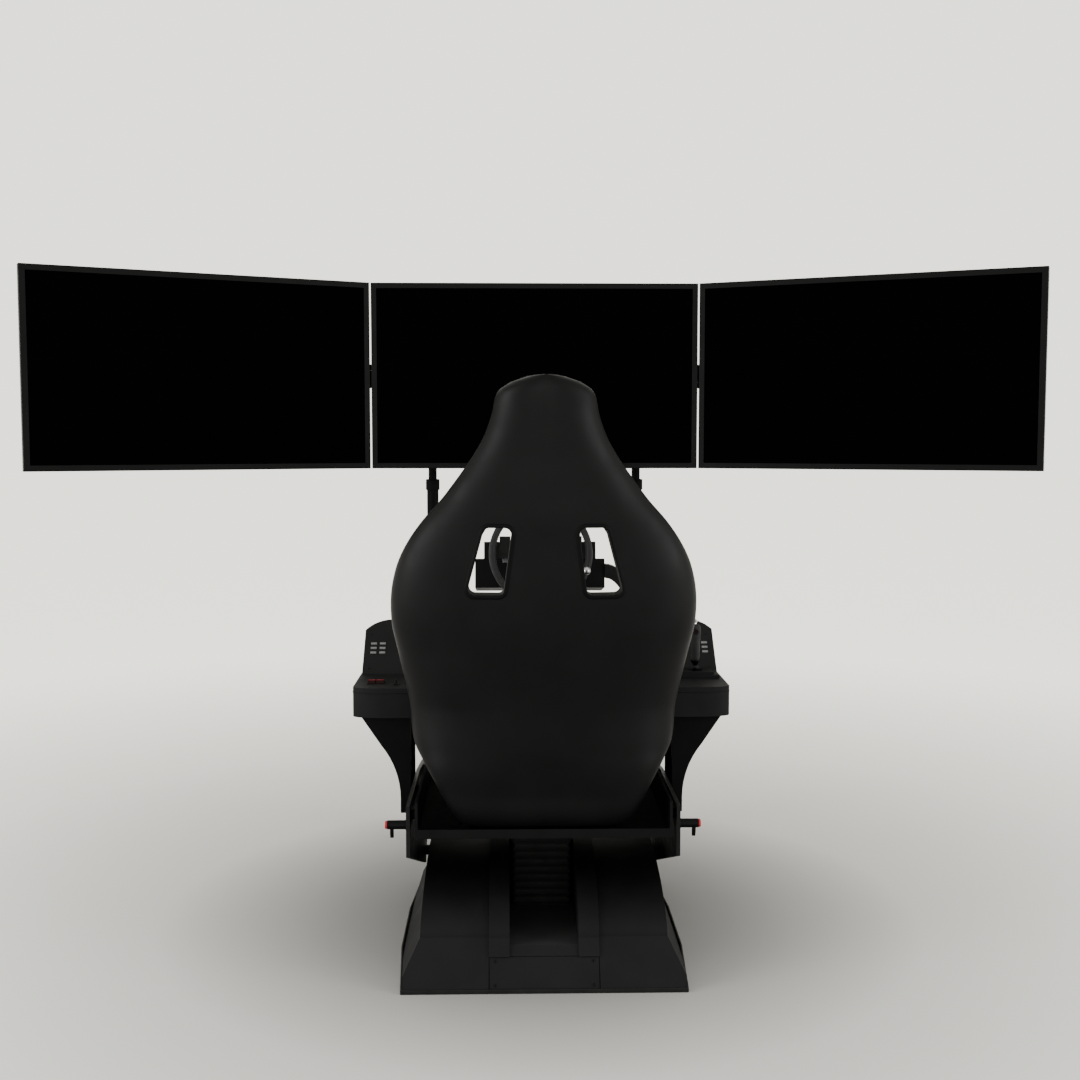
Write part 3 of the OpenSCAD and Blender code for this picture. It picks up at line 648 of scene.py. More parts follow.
def make_pedestal():
    """Moulded pedestal: arched body, two raised ribs and the sunk channel for the bellows."""
    body = pedestal_body(0)
    for side in (-1, 1):
        x0, x1 = sorted((side * CHANNEL_W, side * (CHANNEL_W + RIB_W)))
        rib = combine(pedestal_body(12 * MM), cube((x0, -0.4, 0.01), (x1, 0.4, 0.3)), "INTERSECT")
        combine(body, taken(rib), "UNION")
    combine(body, cube((-CHANNEL_W, -0.4, CHANNEL_FLOOR), (CHANNEL_W, CHANNEL_END, 0.3)))
    recess = [(-BASE_L - 0.01, 4 * MM), (-BASE_L + 5.5 * MM, 4 * MM), (-BASE_L + 41 * MM, PANEL_TOP),
              (-BASE_L - 0.01, PANEL_TOP)]
    combine(body, prism(recess, "X", -PANEL_HALF, PANEL_HALF))
    for x in (-0.30, 0.30):
        combine(body, turned(lathe([(14, -100), (14, 100)], 40), (x, TILT_Y, TILT_Z), (1, 0, 0)))
    bm = taken(body)
    bmesh.ops.dissolve_limit(bm, angle_limit=radians(0.3), verts=bm.verts, edges=bm.edges)
    round_edges(bm, 3.2, 24, 3)
    shell = made("pedestal_shell", bm, "base", [PEDESTAL, LIT_CHANNEL_COPY], ["base_shell"], 40)
    weighted(shell)
    # painted light: upward faces of the channel floor take the lighter copy of the pedestal plastic
    for face in shell.data.polygons:
        c = face.center
        if abs(c.x) < CHANNEL_W + 0.1 * MM and c.z < CHANNEL_FLOOR + 1 * MM and face.normal.z > 0.9:
            face.material_index = 1

    finished("access_panel", 1.2, PEDESTAL, 30)
    lean = Vector((0, -55, 35)).normalized()
    spots = []
    for x in (-0.099, 0.099):
        for up in (0.14, 0.86):
            y = -BASE_L + (3.2 + 34 * up) * MM
            spots.append(((x, y, (5 + 55 * up) * MM), lean))
    screws("panel_screws", "base", spots, 3.2)
    finished("floor_skirt", 1.2, RUBBER, 40)
    painted("base_frame", STEEL_BARE)
    painted("lift_actuator", ACTUATOR)


def rounded_box_ring(half_x, y0, y1, radius, z, steps=6):
    """Points round a rectangle with rounded corners at height z."""
    ring = []
    for x, y, start in ((half_x, y1, 0), (-half_x, y1, 90), (-half_x, y0, 180), (half_x, y0, 270)):
        cx = x - copysign(radius, x)
        cy = y - radius if y == y1 else y + radius
        for k in range(steps + 1):
            t = radians(start + 90 * k / steps)
            ring.append((cx + radius * cos(t), cy + radius * sin(t), z))
    return ring


def make_bellows():
    """Pleated gaiter round the lift rod, from the pedestal up to the seat frame."""
    lo, hi, _ = box_of("bellows")
    folds, steps = 13, 10
    depth, wall = 5 * MM, 2 * MM

    def ring(tuck, radius, z):
        return rounded_box_ring(hi.x - tuck, lo.y + tuck, hi.y - tuck, radius, z)

    rings = []
    for i in range(folds * steps + 1):
        t = i / steps
        wave = abs(2 * (t % 1) - 1)
        tuck = depth * (1 - (1 - wave) ** 1.6) if 0 < i < folds * steps else depth
        rings.append(ring(tuck, 6 * MM, lo.z + t * (hi.z - lo.z) / folds))
    rings += [ring(depth + wall, 5 * MM, z) for z in (hi.z, lo.z)]
    gaiter = as_object(looped(rings), "bellows_gaiter", 50)
    gaiter.data.materials.append(GAITER)
    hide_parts("bellows")
    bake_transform(gaiter, "base", "seat_frame", start=(0, 0, lo.z + 4 * MM), end=(0, 0, hi.z - 2 * MM))

    plate = cube((-70 * MM, -72 * MM, hi.z - 2.5 * MM), (70 * MM, 70 * MM, hi.z + 0.2 * MM))
    made("bellows_top_plate", round_edges(plate, 0.8), "seat_frame", STEEL_BLACK)


# ---------- stand, pedals and screens ----------

CASE_W, CASE_H, CASE_REAR = 0.88, 0.497, 0.05      # width, height and depth of each screen case

def make_stand():
    """Stand with its post collars, height knobs and bolts, and the pedals."""
    finished("stand_frame", 2, STEEL_BLACK)
    finished("post_sleeves", 1.2, ARM_BLACK, 40)
    _, sleeve_hi, _ = box_of("post_sleeves")
    post_r = 16 * MM
    post_x, post_y = sleeve_hi.x - post_r, sleeve_hi.y - post_r
    rim = [(16.4, -30), (19, -29), (19, -2), (17.5, 0), (12.2, 0.4), (12.2, -1)]
    grip = [(4, 0), (4, 14), (13, 15), (14.5, 18), (14.5, 28), (12, 31)]
    knobs, feet, collars = [], [], []
    for side in (-1, 1):
        x = side * post_x
        collars.append(moved(lathe(rim, 40), x, post_y, sleeve_hi.z))
        knobs.append(turned(lathe(grip, 24), (x, post_y + 18 * MM, sleeve_hi.z - 15 * MM), (0, 1, 0)))
        for dx in (-30, 30):
            for y in (762, 788):
                feet.append(((side * post_x + dx * MM, y * MM, 30 * MM), UP))
        for y in (400, 700):
            feet.append(((side * 0.12, y * MM, 28 * MM), UP))
    made("post_collars", merged(collars), "base", ARM_BLACK, angle=40)
    made("height_knobs", round_edges(merged(knobs), 0.6, 40), "base", RUBBER, angle=40)
    screws("stand_bolts", "base", feet, 5)
    finished("pedal_box", 2.5, CASE)
    for name in ("brake_pedal", "throttle_pedal"):
        finished(name, 1.2, ALUMINIUM)


def on_hinge(side):
    """From a screen case's own frame, with the origin at its inner lower front corner, to the row frame."""
    lo, hi, _ = box_of("centre_case")
    pivot = Matrix.Translation((hi.x + 6 * MM, lo.y + 20 * MM, 0))
    corner = Matrix.Translation((6.9 * MM, -20 * MM, lo.z))
    right = pivot @ Matrix.Rotation(radians(-25.7), 4, "Z") @ corner
    return right if side > 0 else Matrix.Diagonal((-1, 1, 1, 1)) @ right


def case_details(name, body, to_row):
    """Rear vents and screws of a screen case, in the case's own frame."""
    start, pitch, bar_w, bar_h, proud = 0.18, 0.0205, 0.013, 0.018, 0.0015
    bars = []
    for z in (0.33, 0.36, 0.39):
        for x in [start + k * pitch for k in range(26)]:
            bars.append(cube((x, CASE_REAR - proud, z), (x + bar_w, CASE_REAR + proud, z + bar_h)))
    grille = round_edges(merged(bars), 0.8)
    grille.transform(to_row)
    made(name + "_vents", grille, body, STEEL_BLACK)
    rear = to_row.to_3x3() @ Vector((0, 1, 0))
    spots = []
    for x in (0.075, 0.31, 0.57, CASE_W - 0.075):
        for z in (0.065, CASE_H - 0.065):
            spots.append((to_row @ Vector((x, CASE_REAR + 0.2 * MM, z)), rear))
    screws(name + "_screws", body, spots, 2.6)


def make_screens():
    """Three panels in their cases on the mast."""
    for name in ("centre", "left", "right"):
        finished(name + "_case", 1.6, CASE)
    for name in ("centre", "left", "right"):
        finished(name + "_screen", 0.4, PANEL)
    lo, _, _ = box_of("centre_case")
    case_details("centre_case", "screen_mast", Matrix.Translation(lo))
    case_details("right_case", "right_display", on_hinge(1))
    case_details("left_case", "left_display", on_hinge(-1))
    finished("screen_mast", 0.9, ARM_BLACK, 40)


# ---------- seat frame ----------

LEVER_Y, LEVER_Z = -226 * MM, 308 * MM

def make_seat_frame():
    """Tray, side plates, arms and wheel column, with their bolts."""
    tray = finished("seat_tray", 1.1, [TRAY_LIT_COPY, TRAY_SHADED_COPY])
    # painted light: faces turned towards -Y take the lighter copy, all others the darker painted-shade copy
    for face in tray.data.polygons:
        face.material_index = 0 if face.normal.y < -0.5 else 1
    finished("side_plates", 1.4, STEEL_BLACK)
    for node in ("left_arm", "right_arm"):
        finished(node, 1.0, ARM_BLACK, 30)
    finished("wheel_column", 2, STEEL_BLACK, 40)
    finished("wheel_brace", 1.5, STEEL_BLACK, 40)
    finished("seat_runners", 0.8, STEEL_BARE)
    _, plate_hi, _ = box_of("side_plates")
    spots = []
    for side in (-1, 1):
        out = (side, 0, 0)
        for y in (-180, -30, 110, 200):
            spots.append(((side * (plate_hi.x - 5 * MM), y * MM, 326 * MM), out))
        for k in range(6):
            t = radians(60 * k + 30)
            spots.append(((side * plate_hi.x, TILT_Y + 0.018 * cos(t), TILT_Z + 0.018 * sin(t)), out))
    screws("frame_bolts", "seat_frame", spots, 4)


def make_levers():
    """Twist levers with a red ring on the free end."""
    ring = [(7.4, -4.3), (8.2, -3.9), (8.2, -0.5), (7.5, 0.3), (5.6, 0.3), (5.0, -0.4), (5.0, -4.3)]
    for side, name in ((-1, "left_lever"), (1, "right_lever")):
        lo, hi, _ = box_of(name)
        finished(name, 0.9, LEVER)
        end = (hi.x if side > 0 else lo.x, LEVER_Y, LEVER_Z)
        bm = turned(lathe(ring, 36), end, (side, 0, 0))
        made(name + "_ring", bm, name, RED_RING, angle=40)


# ---------- seat ----------

# Stations along the shell: y and z of the outer surface, direction of the wrap from straight up in degrees,
# half width and wrap depth in millimetres, and roundness, as the frame's own shell has them
STATIONS = [
    (215, 368, -14, 204, 44, 0.8), (190, 354, -10, 222, 66, 0.8), (100, 334, -5, 232, 92, 0.8),
    (0, 317, -1, 230, 106, 0.75), (-100, 309, 0, 218, 113, 0.6), (-150, 307, 14, 204, 116, 0.45),
    (-232, 307, 31, 187, 118, 0.32), (-270, 314, 43, 190, 118, 0.32), (-287, 338, 53, 202, 118, 0.35),
    (-296, 385, 66, 225, 118, 0.38), (-307, 430, 79, 248, 118, 0.55), (-318, 475, 90, 265, 120, 0.8),
    (-335, 563, 90, 275, 124, 1), (-362, 668, 90, 295, 126, 1), (-380, 740, 90, 307, 118, 1),
    (-397, 823, 90, 301, 106, 1), (-404, 865, 90, 288, 98, 1), (-411, 905, 90, 267, 92, 1),
    (-419, 945, 90, 238, 86, 1), (-426, 985, 90, 202, 80, 1), (-433, 1024, 90, 172, 74, 1),
    (-441, 1072, 90, 138, 68, 1), (-446, 1097, 90, 123, 65, 1), (-452, 1129, 90, 109, 62, 1),
    (-457, 1159, 90, 100, 60, 1), (-460, 1180, 90, 96, 56, 1), (-462, 1197, 90, 86, 50, 1),
    (-463, 1209, 90, 66, 42, 1), (-461, 1219, 90, 36, 32, 1),
]
SHELL_T = 12
CUSHION_GAP = 4
CUSHION_T = 46
SHELL_WRAP = 96
BACK_FROM, BACK_TO = 11, 26      # stations that the back cushion covers
PAN_FROM, PAN_TO = 1, 6          # stations that the seat cushion covers


def between(stations, step):
    """Stations about step mm apart on a smooth curve through the given ones."""
    gaps = [max(1.0, dist(a[:2], b[:2])) for a, b in zip(stations, stations[1:])]
    rates = [[(q - p) / g for p, q in zip(a, b)] for a, b, g in zip(stations, stations[1:], gaps)]
    slopes = [rates[0]]
    for r0, r1, g0, g1 in zip(rates, rates[1:], gaps, gaps[1:]):
        slopes.append([(p * g1 + q * g0) / (g0 + g1) for p, q in zip(r0, r1)])
    slopes.append(rates[-1])
    out = []
    for i, g in enumerate(gaps):
        parts = max(1, round(g / step))
        ends = list(zip(stations[i], slopes[i], stations[i + 1], slopes[i + 1]))
        for k in range(parts):
            t = k / parts
            h00, h10 = 2 * t**3 - 3 * t**2 + 1, t**3 - 2 * t**2 + t
            h01, h11 = -2 * t**3 + 3 * t**2, t**3 - t**2
            out.append(tuple(h00 * a + h10 * g * ma + h01 * b + h11 * g * mb for a, ma, b, mb in ends))
    out.append(stations[-1])
    return out


def seat_point(s, inset, wrap):
    """Point on the seat's surface, inset mm inside the shell's outer face and wrap degrees round it."""
    y, z, up, half, depth, power = s
    power = min(1.0, power)
    t, u = radians(abs(wrap)), radians(up)
    share = 1 - cos(t) ** power if t < pi / 2 else 1 - cos(t)
    off = inset + (depth - inset) * share
    x = copysign((half - inset) * sin(t) ** power, wrap)
    return Vector((x, y + sin(u) * off, z + cos(u) * off)) * MM


def wraps(s, limit, columns):
    """Wrap angles from -limit to limit, spread so that points lie evenly across a squarer station too."""
    out = []
    for k in range(columns + 1):
        u = 2 * k / columns - 1
        a = abs(u) * limit
        if a < 90:
            a = 90 * (a / 90) ** (1 / min(1.0, s[5]))
        out.append(copysign(a, u))
    return out


def wrap_for(s, x, inset):
    """Wrap angle at which the surface lies x mm from the middle plane."""
    share = min(1.0, x / (s[3] - inset))
    return degrees(asin(share ** (1 / min(1.0, s[5]))))


def shell_y(x, z, stations):
    """Y in mm of the shell's outer face at (x, z) in mm, on the upright part of the back."""
    for a, b in zip(stations, stations[1:]):
        if a[1] <= z <= b[1]:
            t = (z - a[1]) / (b[1] - a[1])
            y, _, _, half, depth, _ = (p + (q - p) * t for p, q in zip(a, b))
            return y + depth * (1 - sqrt(max(0.0, 1 - (x / half) ** 2)))
    raise ValueError("height off the seat back")


def slot_outline(grow, steps=6):
    """Harness slot on the right, leaning outwards at the bottom, as (x, z) in mm, anticlockwise."""
    r = 15 + grow
    corners = [(107, 921), (78, 921), (92, 815), (136, 815)]
    out = []
    for (x, z), before, after in zip(corners, corners[-1:] + corners, corners[1:] + corners[:1]):
        first = atan2(z - before[1], x - before[0]) - pi / 2
        last = atan2(after[1] - z, after[0] - x) - pi / 2
        while last < first:
            last += 2 * pi
        for k in range(steps + 1):
            t = first + (last - first) * k / steps
            out.append((x + r * cos(t), z + r * sin(t)))
    return out


def cut_slots(obj, grow):
    """Cuts both harness slots through obj, grow mm larger all round."""
    for side in (-1, 1):
        outline = [(side * x * MM, z * MM) for x, z in slot_outline(grow)][::side]
        combine(obj, prism(outline, "Y", -0.6, 0))


def make_seat_shell():
    """One moulded shell: rounded edge all round, faint centre crease and a trim ring in each harness slot."""
    fine = between(STATIONS, 9)
    tip_y, tip_z = fine[-1][:2]
    for lift, half, depth in ((2.2, 22, 26), (3.2, 8, 20)):
        fine.append((tip_y + lift * 0.4, tip_z + lift, 90, half, depth, 1))
    columns, edge_steps = 64, 6
    round_r = SHELL_T / 2
    edge = [pi * k / edge_steps for k in range(1, edge_steps)]
    rings = []
    for s in fine:
        reach = degrees(round_r / max(s[3], 20))
        angles = wraps(s, SHELL_WRAP, columns)
        ring = [seat_point(s, 1.1 * exp(-(seat_point(s, 0, w).x / (6 * MM)) ** 2), w) for w in angles]
        ring += [seat_point(s, round_r * (1 - cos(a)), SHELL_WRAP + reach * sin(a)) for a in edge]
        ring += [seat_point(s, SHELL_T, -w) for w in angles]
        ring += [seat_point(s, round_r * (1 + cos(a)), -SHELL_WRAP - reach * sin(a)) for a in edge]
        rings.append(ring)
    bm = bmesh.new()
    rows = loft(bm, rings)
    n = len(rings[0])
    for row, flip in ((rows[0], False), (rows[-1], True)):
        for j in range(columns + edge_steps // 2):
            corners = [row[i] for i in (j, j + 1, n - j - 1 - edge_steps, n - j - edge_steps)]
            if len(set(corners)) == 4:
                bm.faces.new(corners if flip else corners[::-1])
    bmesh.ops.holes_fill(bm, edges=[e for e in bm.edges if e.is_boundary], sides=0)
    shell = as_object(bm, "seat_shell_made", 60)
    cut_slots(shell, 0)
    smooth(shell.data, 50)
    place(shell, "seat", SEAT_SKIN, ["seat_shell"])
    slot_trims([s for s in fine if 780 < s[1] < 980])


def slot_trims(upright):
    """Raised lip round each harness slot, with a liner through the shell and the cushion."""
    # offset outwards from the slot's edge and rise above the shell, in mm
    lip = [(-2.2, 0.3), (-2.0, 1.6), (-1.0, 2.3), (0.6, 2.5), (2.8, 2.2), (4.6, 1.5), (5.8, 0.5),
           (6.2, -0.4), (-0.4, -1)]
    outline = slot_outline(0, 8)
    for side, name in ((-1, "left"), (1, "right")):
        rings = []
        for (x, z), before, after in zip(outline, outline[-1:] + outline, outline[1:] + outline[:1]):
            out = Vector((after[1] - before[1], before[0] - after[0])).normalized()
            deep = shell_y(x, z, upright) + SHELL_T + CUSHION_T - 4
            points = []
            for offset, rise in lip:
                px, pz = x + out.x * offset, z + out.y * offset
                points.append((px, shell_y(px, pz, upright) - rise, pz))
            for offset, more in ((-0.4, 0), (-2.2, 1)):
                points.append((x + out.x * offset, deep + more, z + out.y * offset))
            rings.append([Vector((side * px, py, pz)) * MM for px, py, pz in points])
        made(name + "_slot_trim", looped(rings), "seat", TRIM, angle=45)


def padded_start(stations, inner, outer, wrap, columns=30):
    """Closed shape between two insets of the seat surface, with rounded sides."""
    middle, half = (inner + outer) / 2, (outer - inner) / 2
    edge = [pi * k / 5 for k in range(1, 5)]
    rings = []
    for s in stations:
        angles = wraps(s, wrap, columns)
        reach = degrees(half / s[3]) * 0.6
        ring = [seat_point(s, inner, a) for a in angles]
        ring += [seat_point(s, middle - half * cos(a), wrap + reach * sin(a)) for a in edge]
        ring += [seat_point(s, outer, -a) for a in angles]
        ring += [seat_point(s, middle + half * cos(a), -wrap - reach * sin(a)) for a in edge]
        rings.append(ring)
    return solid(rings)


def inflate(obj):
    """Remeshes obj evenly, blows it up as cloth and caps how far each point may move."""
    frames, pressure, cap = 20, 4.0, 8 * MM
    modify(obj, "REMESH", mode="VOXEL", voxel_size=7 * MM)
    modify(obj, "SMOOTH", iterations=3, factor=0.5)
    rest = [v.co.copy() for v in obj.data.vertices]
    cloth = obj.modifiers.new("cloth", "CLOTH")
    cloth.settings.use_pressure = True
    cloth.settings.uniform_pressure_force = pressure
    cloth.settings.effector_weights.gravity = 0
    cloth.settings.mass = 0.4
    cloth.settings.tension_stiffness = 25
    cloth.settings.bending_stiffness = 4
    cloth.point_cache.frame_start, cloth.point_cache.frame_end = 1, frames
    for number in range(1, frames + 1):
        scene.frame_set(number)
    depsgraph = bpy.context.evaluated_depsgraph_get()
    blown = [v.co.copy() for v in obj.evaluated_get(depsgraph).data.vertices]
    obj.modifiers.clear()
    scene.frame_set(1)
    for v, before, after in zip(obj.data.vertices, rest, blown):
        move = after - before
        if move.length > cap:
            move *= cap / move.length
        v.co = before + move
    modify(obj, "SMOOTH", iterations=2, factor=0.5)


def subdivide(obj):
    modify(obj, "SUBSURF", levels=1, render_levels=1)


def groove(distance, half_width, depth):
    """Depth of a sewn channel at a distance from its seam: a sharp valley with soft pillows beside it."""
    t = abs(distance) / half_width
    return depth * exp(-3.5 * t) if t < 3 else 0.0


def press(obj, depth_at):
    """Moves each point of obj inwards along its normal by what depth_at says, in mm."""
    moved_to = [v.co - v.normal * depth_at(v.co, v.normal) * MM for v in obj.data.vertices]
    for v, co in zip(obj.data.vertices, moved_to):
        v.co = co


def on_surface(obj, points, toward):
    """Points dropped onto obj along toward, with the surface normal at each."""
    tree = BVHTree.FromObject(obj, bpy.context.evaluated_depsgraph_get())
    out = []
    for p, d in zip(points, toward):
        hit, normal, _, _ = tree.ray_cast(p - d * 0.12, d, 0.3)
        if hit is not None:
            out.append((hit, normal))
    return out


def sewn_line(name, obj, stations, across_at, inset):
    """Piping with a stitch row on each side, following the cushion across_at mm from the middle."""
    radius, length, raised = 2.6 * MM, 5.5 * MM, 0.35 * MM
    for side, label in ((-1, name + "_left"), (1, name + "_right")):
        angles = [side * wrap_for(s, across_at(s), inset) for s in stations]
        start = [seat_point(s, inset, a) for s, a in zip(stations, angles)]
        deeper = [seat_point(s, 0, a) for s, a in zip(stations, angles)]
        hits = on_surface(obj, start, [(b - a).normalized() for a, b in zip(start, deeper)])
        path = [h - n * radius * 0.1 for h, n in hits]
        made(label + "_piping", tube_mesh(path, radius), "seat", PIPING, angle=60)
        stitches = []
        for gap in (-6.5 * MM, 6.5 * MM):
            travelled = 0.0
            for (a, na), (b, _) in zip(hits, hits[1:]):
                along = b - a
                size = along.length
                along.normalize()
                across = along.cross(na).normalized()
                while travelled < size:
                    p = a + along * travelled + across * gap
                    for h, n in on_surface(obj, [p], [-na]):
                        reach, sunk = along * length * 0.36, n * 0.3 * MM
                        thread = [h - reach - sunk, h + n * raised, h + reach - sunk]
                        stitches.append(tube_mesh(thread, 0.55 * MM, 5))
                    travelled += length
                travelled -= size
        made(label + "_stitches", merged(stitches), "seat", THREAD, angle=60)


def make_cushions():
    """Leather cushions: blown up as cloth, then sewn across into channels between two side bolsters."""
    inner, outer = SHELL_T + CUSHION_GAP + 3, SHELL_T + CUSHION_T
    insert_edge = 36      # degrees round the shell where the bolsters begin
    neck_z = 985          # top of the bolsters
    edge = sin(radians(insert_edge - 1))

    def wrap_at(x, half):
        return degrees(asin(max(-1.0, min(1.0, x / half))))

    def sewn_depth(along, seams, wrap, half):
        """Channels across the insert, and one along each bolster."""
        across = max(groove(along - seam, 9, 6.5) for seam in seams) if abs(wrap) < insert_edge else 0.0
        return across, groove((abs(wrap) - insert_edge) * half * pi / 180, 8, 5.0)

    fine = between(STATIONS[BACK_FROM:BACK_TO + 1], 22)
    back = as_object(padded_start(fine, inner, outer - 7, 76), "back_cushion_leather", 60)
    cut_slots(back, 5)
    inflate(back)
    subdivide(back)
    seams = [520 + 62 * k for k in range(5)] + [neck_z, 1040, 1095]

    def back_depth(p, n):
        if n.y < 0.15:
            return 0.0
        z = p.z / MM
        half = min(fine, key=lambda s: abs(s[1] - z))[3]
        across, beside = sewn_depth(z, seams, wrap_at(p.x / MM, max(20.0, half - CUSHION_T)), half)
        return max(across, beside if z < neck_z else 0.0)

    press(back, back_depth)
    smooth(back.data, 80)
    place(back, "seat", LEATHER, ["back_cushion"])
    lines = [s for s in between(STATIONS[BACK_FROM:BACK_TO + 1], 12) if 500 < s[1] < neck_z]
    sewn_line("back", back, lines, lambda s: edge * (s[3] - outer), outer)

    fine = between(STATIONS[PAN_FROM:PAN_TO + 1], 22)
    pan = as_object(padded_start(fine, inner, outer + 1, 68), "seat_cushion_leather", 60)
    inflate(pan)
    subdivide(pan)
    rows = [-170, -110, -50, 10, 70, 130]
    pan_half = 200

    def pan_depth(p, n):
        if n.z < 0.2:
            return 0.0
        return max(sewn_depth(p.y / MM, rows, wrap_at(p.x / MM, pan_half), pan_half))

    press(pan, pan_depth)
    smooth(pan.data, 80)
    place(pan, "seat", LEATHER, ["seat_cushion"])
    lines = [s for s in between(STATIONS[PAN_FROM:PAN_TO + 1], 12) if -205 < s[0] < 175]
    sewn_line("pan", pan, lines, lambda s: edge * pan_half, outer + 8)


# ---------- consoles ----------

CONSOLE_LO, CONSOLE_HI, _ = box_of("right_console")
FASCIA_SLOPE = 45
FASCIA_FOOT = Vector((0, 70, 576)) * MM
SLOPE_OUT = Vector((0, -sin(radians(FASCIA_SLOPE)), cos(radians(FASCIA_SLOPE))))
SLOPE_UP = Vector((0, cos(radians(FASCIA_SLOPE)), sin(radians(FASCIA_SLOPE))))
DECK_Z = 572 * MM


def on_fascia(x, up, out=0.0):
    """Point on the sloping panel: across, up the slope and out of it."""
    return FASCIA_FOOT + Vector((x, 0, 0)) + SLOPE_UP * up + SLOPE_OUT * out


def key_legends():
    """Thin raised frame round each key, on the panel."""
    half_w, half_h, wall = 7.5 * MM, 3.4 * MM, 0.5 * MM
    for side, name, columns in ((-1, "left", (0, 1)), (1, "right", (0,))):
        frames = []
        for column in columns:
            for row in range(3):
                x = side * (CONSOLE_HI.x - (24 + 20.3 * column) * MM)
                up = (79 - 12.8 * row) * MM
                rings = []
                for grow, rise in ((wall, -0.2), (wall * 0.8, 0.25), (wall * 0.2, 0.25), (0, -0.2)):
                    rings.append([on_fascia(x + sx * (half_w + grow), up + sy * (half_h + grow), rise * MM)
                                  for sx, sy in ((-1, -1), (1, -1), (1, 1), (-1, 1))])
                frames.append(looped(rings))
        made(name + "_key_frames", merged(frames), "seat_frame", CONSOLE)


def make_consoles():
    """Consoles beside the pilot with their panels, keys, screws and switches."""
    for node in ("left_console", "right_console"):
        finished(node, 2.2, CONSOLE, 30, 3)
    for node in ("left_fascia", "right_fascia"):
        finished(node, 0.7, FASCIA, 30)
    key_legends()
    for node in frame["nodes"]:
        if "_key_" in node:
            finished(node, 0.7, PALE, 40, 3)

    spots = []
    for side in (-1, 1):
        for x, up in ((297, 9), (297, 140), (389, 9), (389, 104)):
            spots.append((on_fascia(side * x * MM, up * MM), SLOPE_OUT))
        for x, y in ((293, -104), (293, 60), (393, 56)):
            spots.append(((side * x * MM, y * MM, DECK_Z), UP))
    screws("console_screws", "seat_frame", spots, 2.4)
    console_lines()
    for node in ("rocker_left", "rocker_right"):
        rocker(node)
    finished("toggle_switch", 0.3, BOLT, 60)
    _, _, mid = box_of("toggle_switch")
    nut = prism(circle(7.8 * MM, 6, at=mid), "Z", DECK_Z - 0.2 * MM, DECK_Z + 1.4 * MM)
    nut = combine(as_object(nut, "toggle_nut"), moved(lathe([(5.6, -10), (5.6, 10)]), mid.x, mid.y, DECK_Z))
    place(nut, "seat_frame", BOLT)


def console_lines():
    """Bead between each console's tray and its lid, and the foot of the sloping panel on the deck."""
    proud = 0.35 * MM
    rx, ry = 64 * MM, 24 * MM
    x_in, x_out = CONSOLE_LO.x - proud, CONSOLE_HI.x + proud
    y0, y1 = CONSOLE_LO.y - proud, CONSOLE_HI.y - 4 * MM
    corner = [(x_out - rx + rx * cos(radians(t)), y0 + ry + ry * sin(radians(t))) for t in range(-90, 1, 6)]
    path = [(x_in, y1), (x_in, y0 + 3 * MM), (x_in + 3 * MM, y0)] + corner + [(x_out, y1)]
    foot = [(y * MM, DECK_Z + z * MM) for y, z in ((66, -0.1), (74, -0.1), (74, 1.2), (70, 4))]
    for side, name in ((-1, "left"), (1, "right")):
        bead = tube_mesh([(side * x, y, DECK_Z - 11 * MM) for x, y in path], 0.7 * MM, 8)
        made(name + "_console_bead", bead, "seat_frame", CONSOLE, angle=60)
        ends = sorted((side * (CONSOLE_LO.x + 6 * MM), side * (CONSOLE_HI.x - 2 * MM)))
        made(name + "_fascia_foot", prism(foot, "X", *ends), "seat_frame", FASCIA)


def deck_block(lo, hi, side, ends, low, high):
    """Block that clears a node's box on the deck by side and ends mm, from low to high mm above the deck."""
    return cube((lo.x - side * MM, lo.y - ends * MM, DECK_Z + low * MM),
                (hi.x + side * MM, hi.y + ends * MM, DECK_Z + high * MM))


def rocker(node):
    """Saddle with a dark near face, a painted highlight along its crest as a brighter red strip, and a bezel
    round it.
    """
    lo, hi, mid = box_of(node)
    saddle = [(lo.y, lo.z), (lo.y, DECK_Z + 1.6 * MM), (mid.y - 2 * MM, DECK_Z + 6.6 * MM),
              (mid.y + 3 * MM, DECK_Z + 6.6 * MM), (hi.y, DECK_Z + 2.4 * MM), (hi.y, lo.z)]
    cap = round_edges(prism(saddle, "X", lo.x, hi.x), 0.8, 30, 3)
    made(node + "_cap", cap, node, ROCKER, [node])
    # painted highlight: thin brighter red strip along the crest
    crest = cube((lo.x + 0.6 * MM, mid.y - 0.2 * MM, DECK_Z + 5.6 * MM),
                 (hi.x - 0.6 * MM, mid.y + 2.4 * MM, DECK_Z + 7.1 * MM))
    made(node + "_crest_highlight", round_edges(crest, 0.5, 30), node, RED_PAINTED_HIGHLIGHT)
    bezel = as_object(deck_block(lo, hi, 1.2, 3, -0.2, 1.2), node + "_bezel")
    combine(bezel, deck_block(lo, hi, 0.35, 1.6, -10, 10))
    place(bezel, "seat_frame", CASE)


# ---------- wheel ----------

WHEEL_AT = Vector((6, 258, 829)) * MM
WHEEL_LEAN = 10
WHEEL_R = 125 * MM
RIM_TUBE = 8 * MM
BASE_BACK = -215 * MM      # far face of the wheel's base, in the wheel's own frame


def wheel_frame():
    """From the wheel's own frame, z at the pilot, to the row frame."""
    return Matrix.Translation(WHEEL_AT) @ Matrix.Rotation(radians(90 - WHEEL_LEAN), 4, "X")


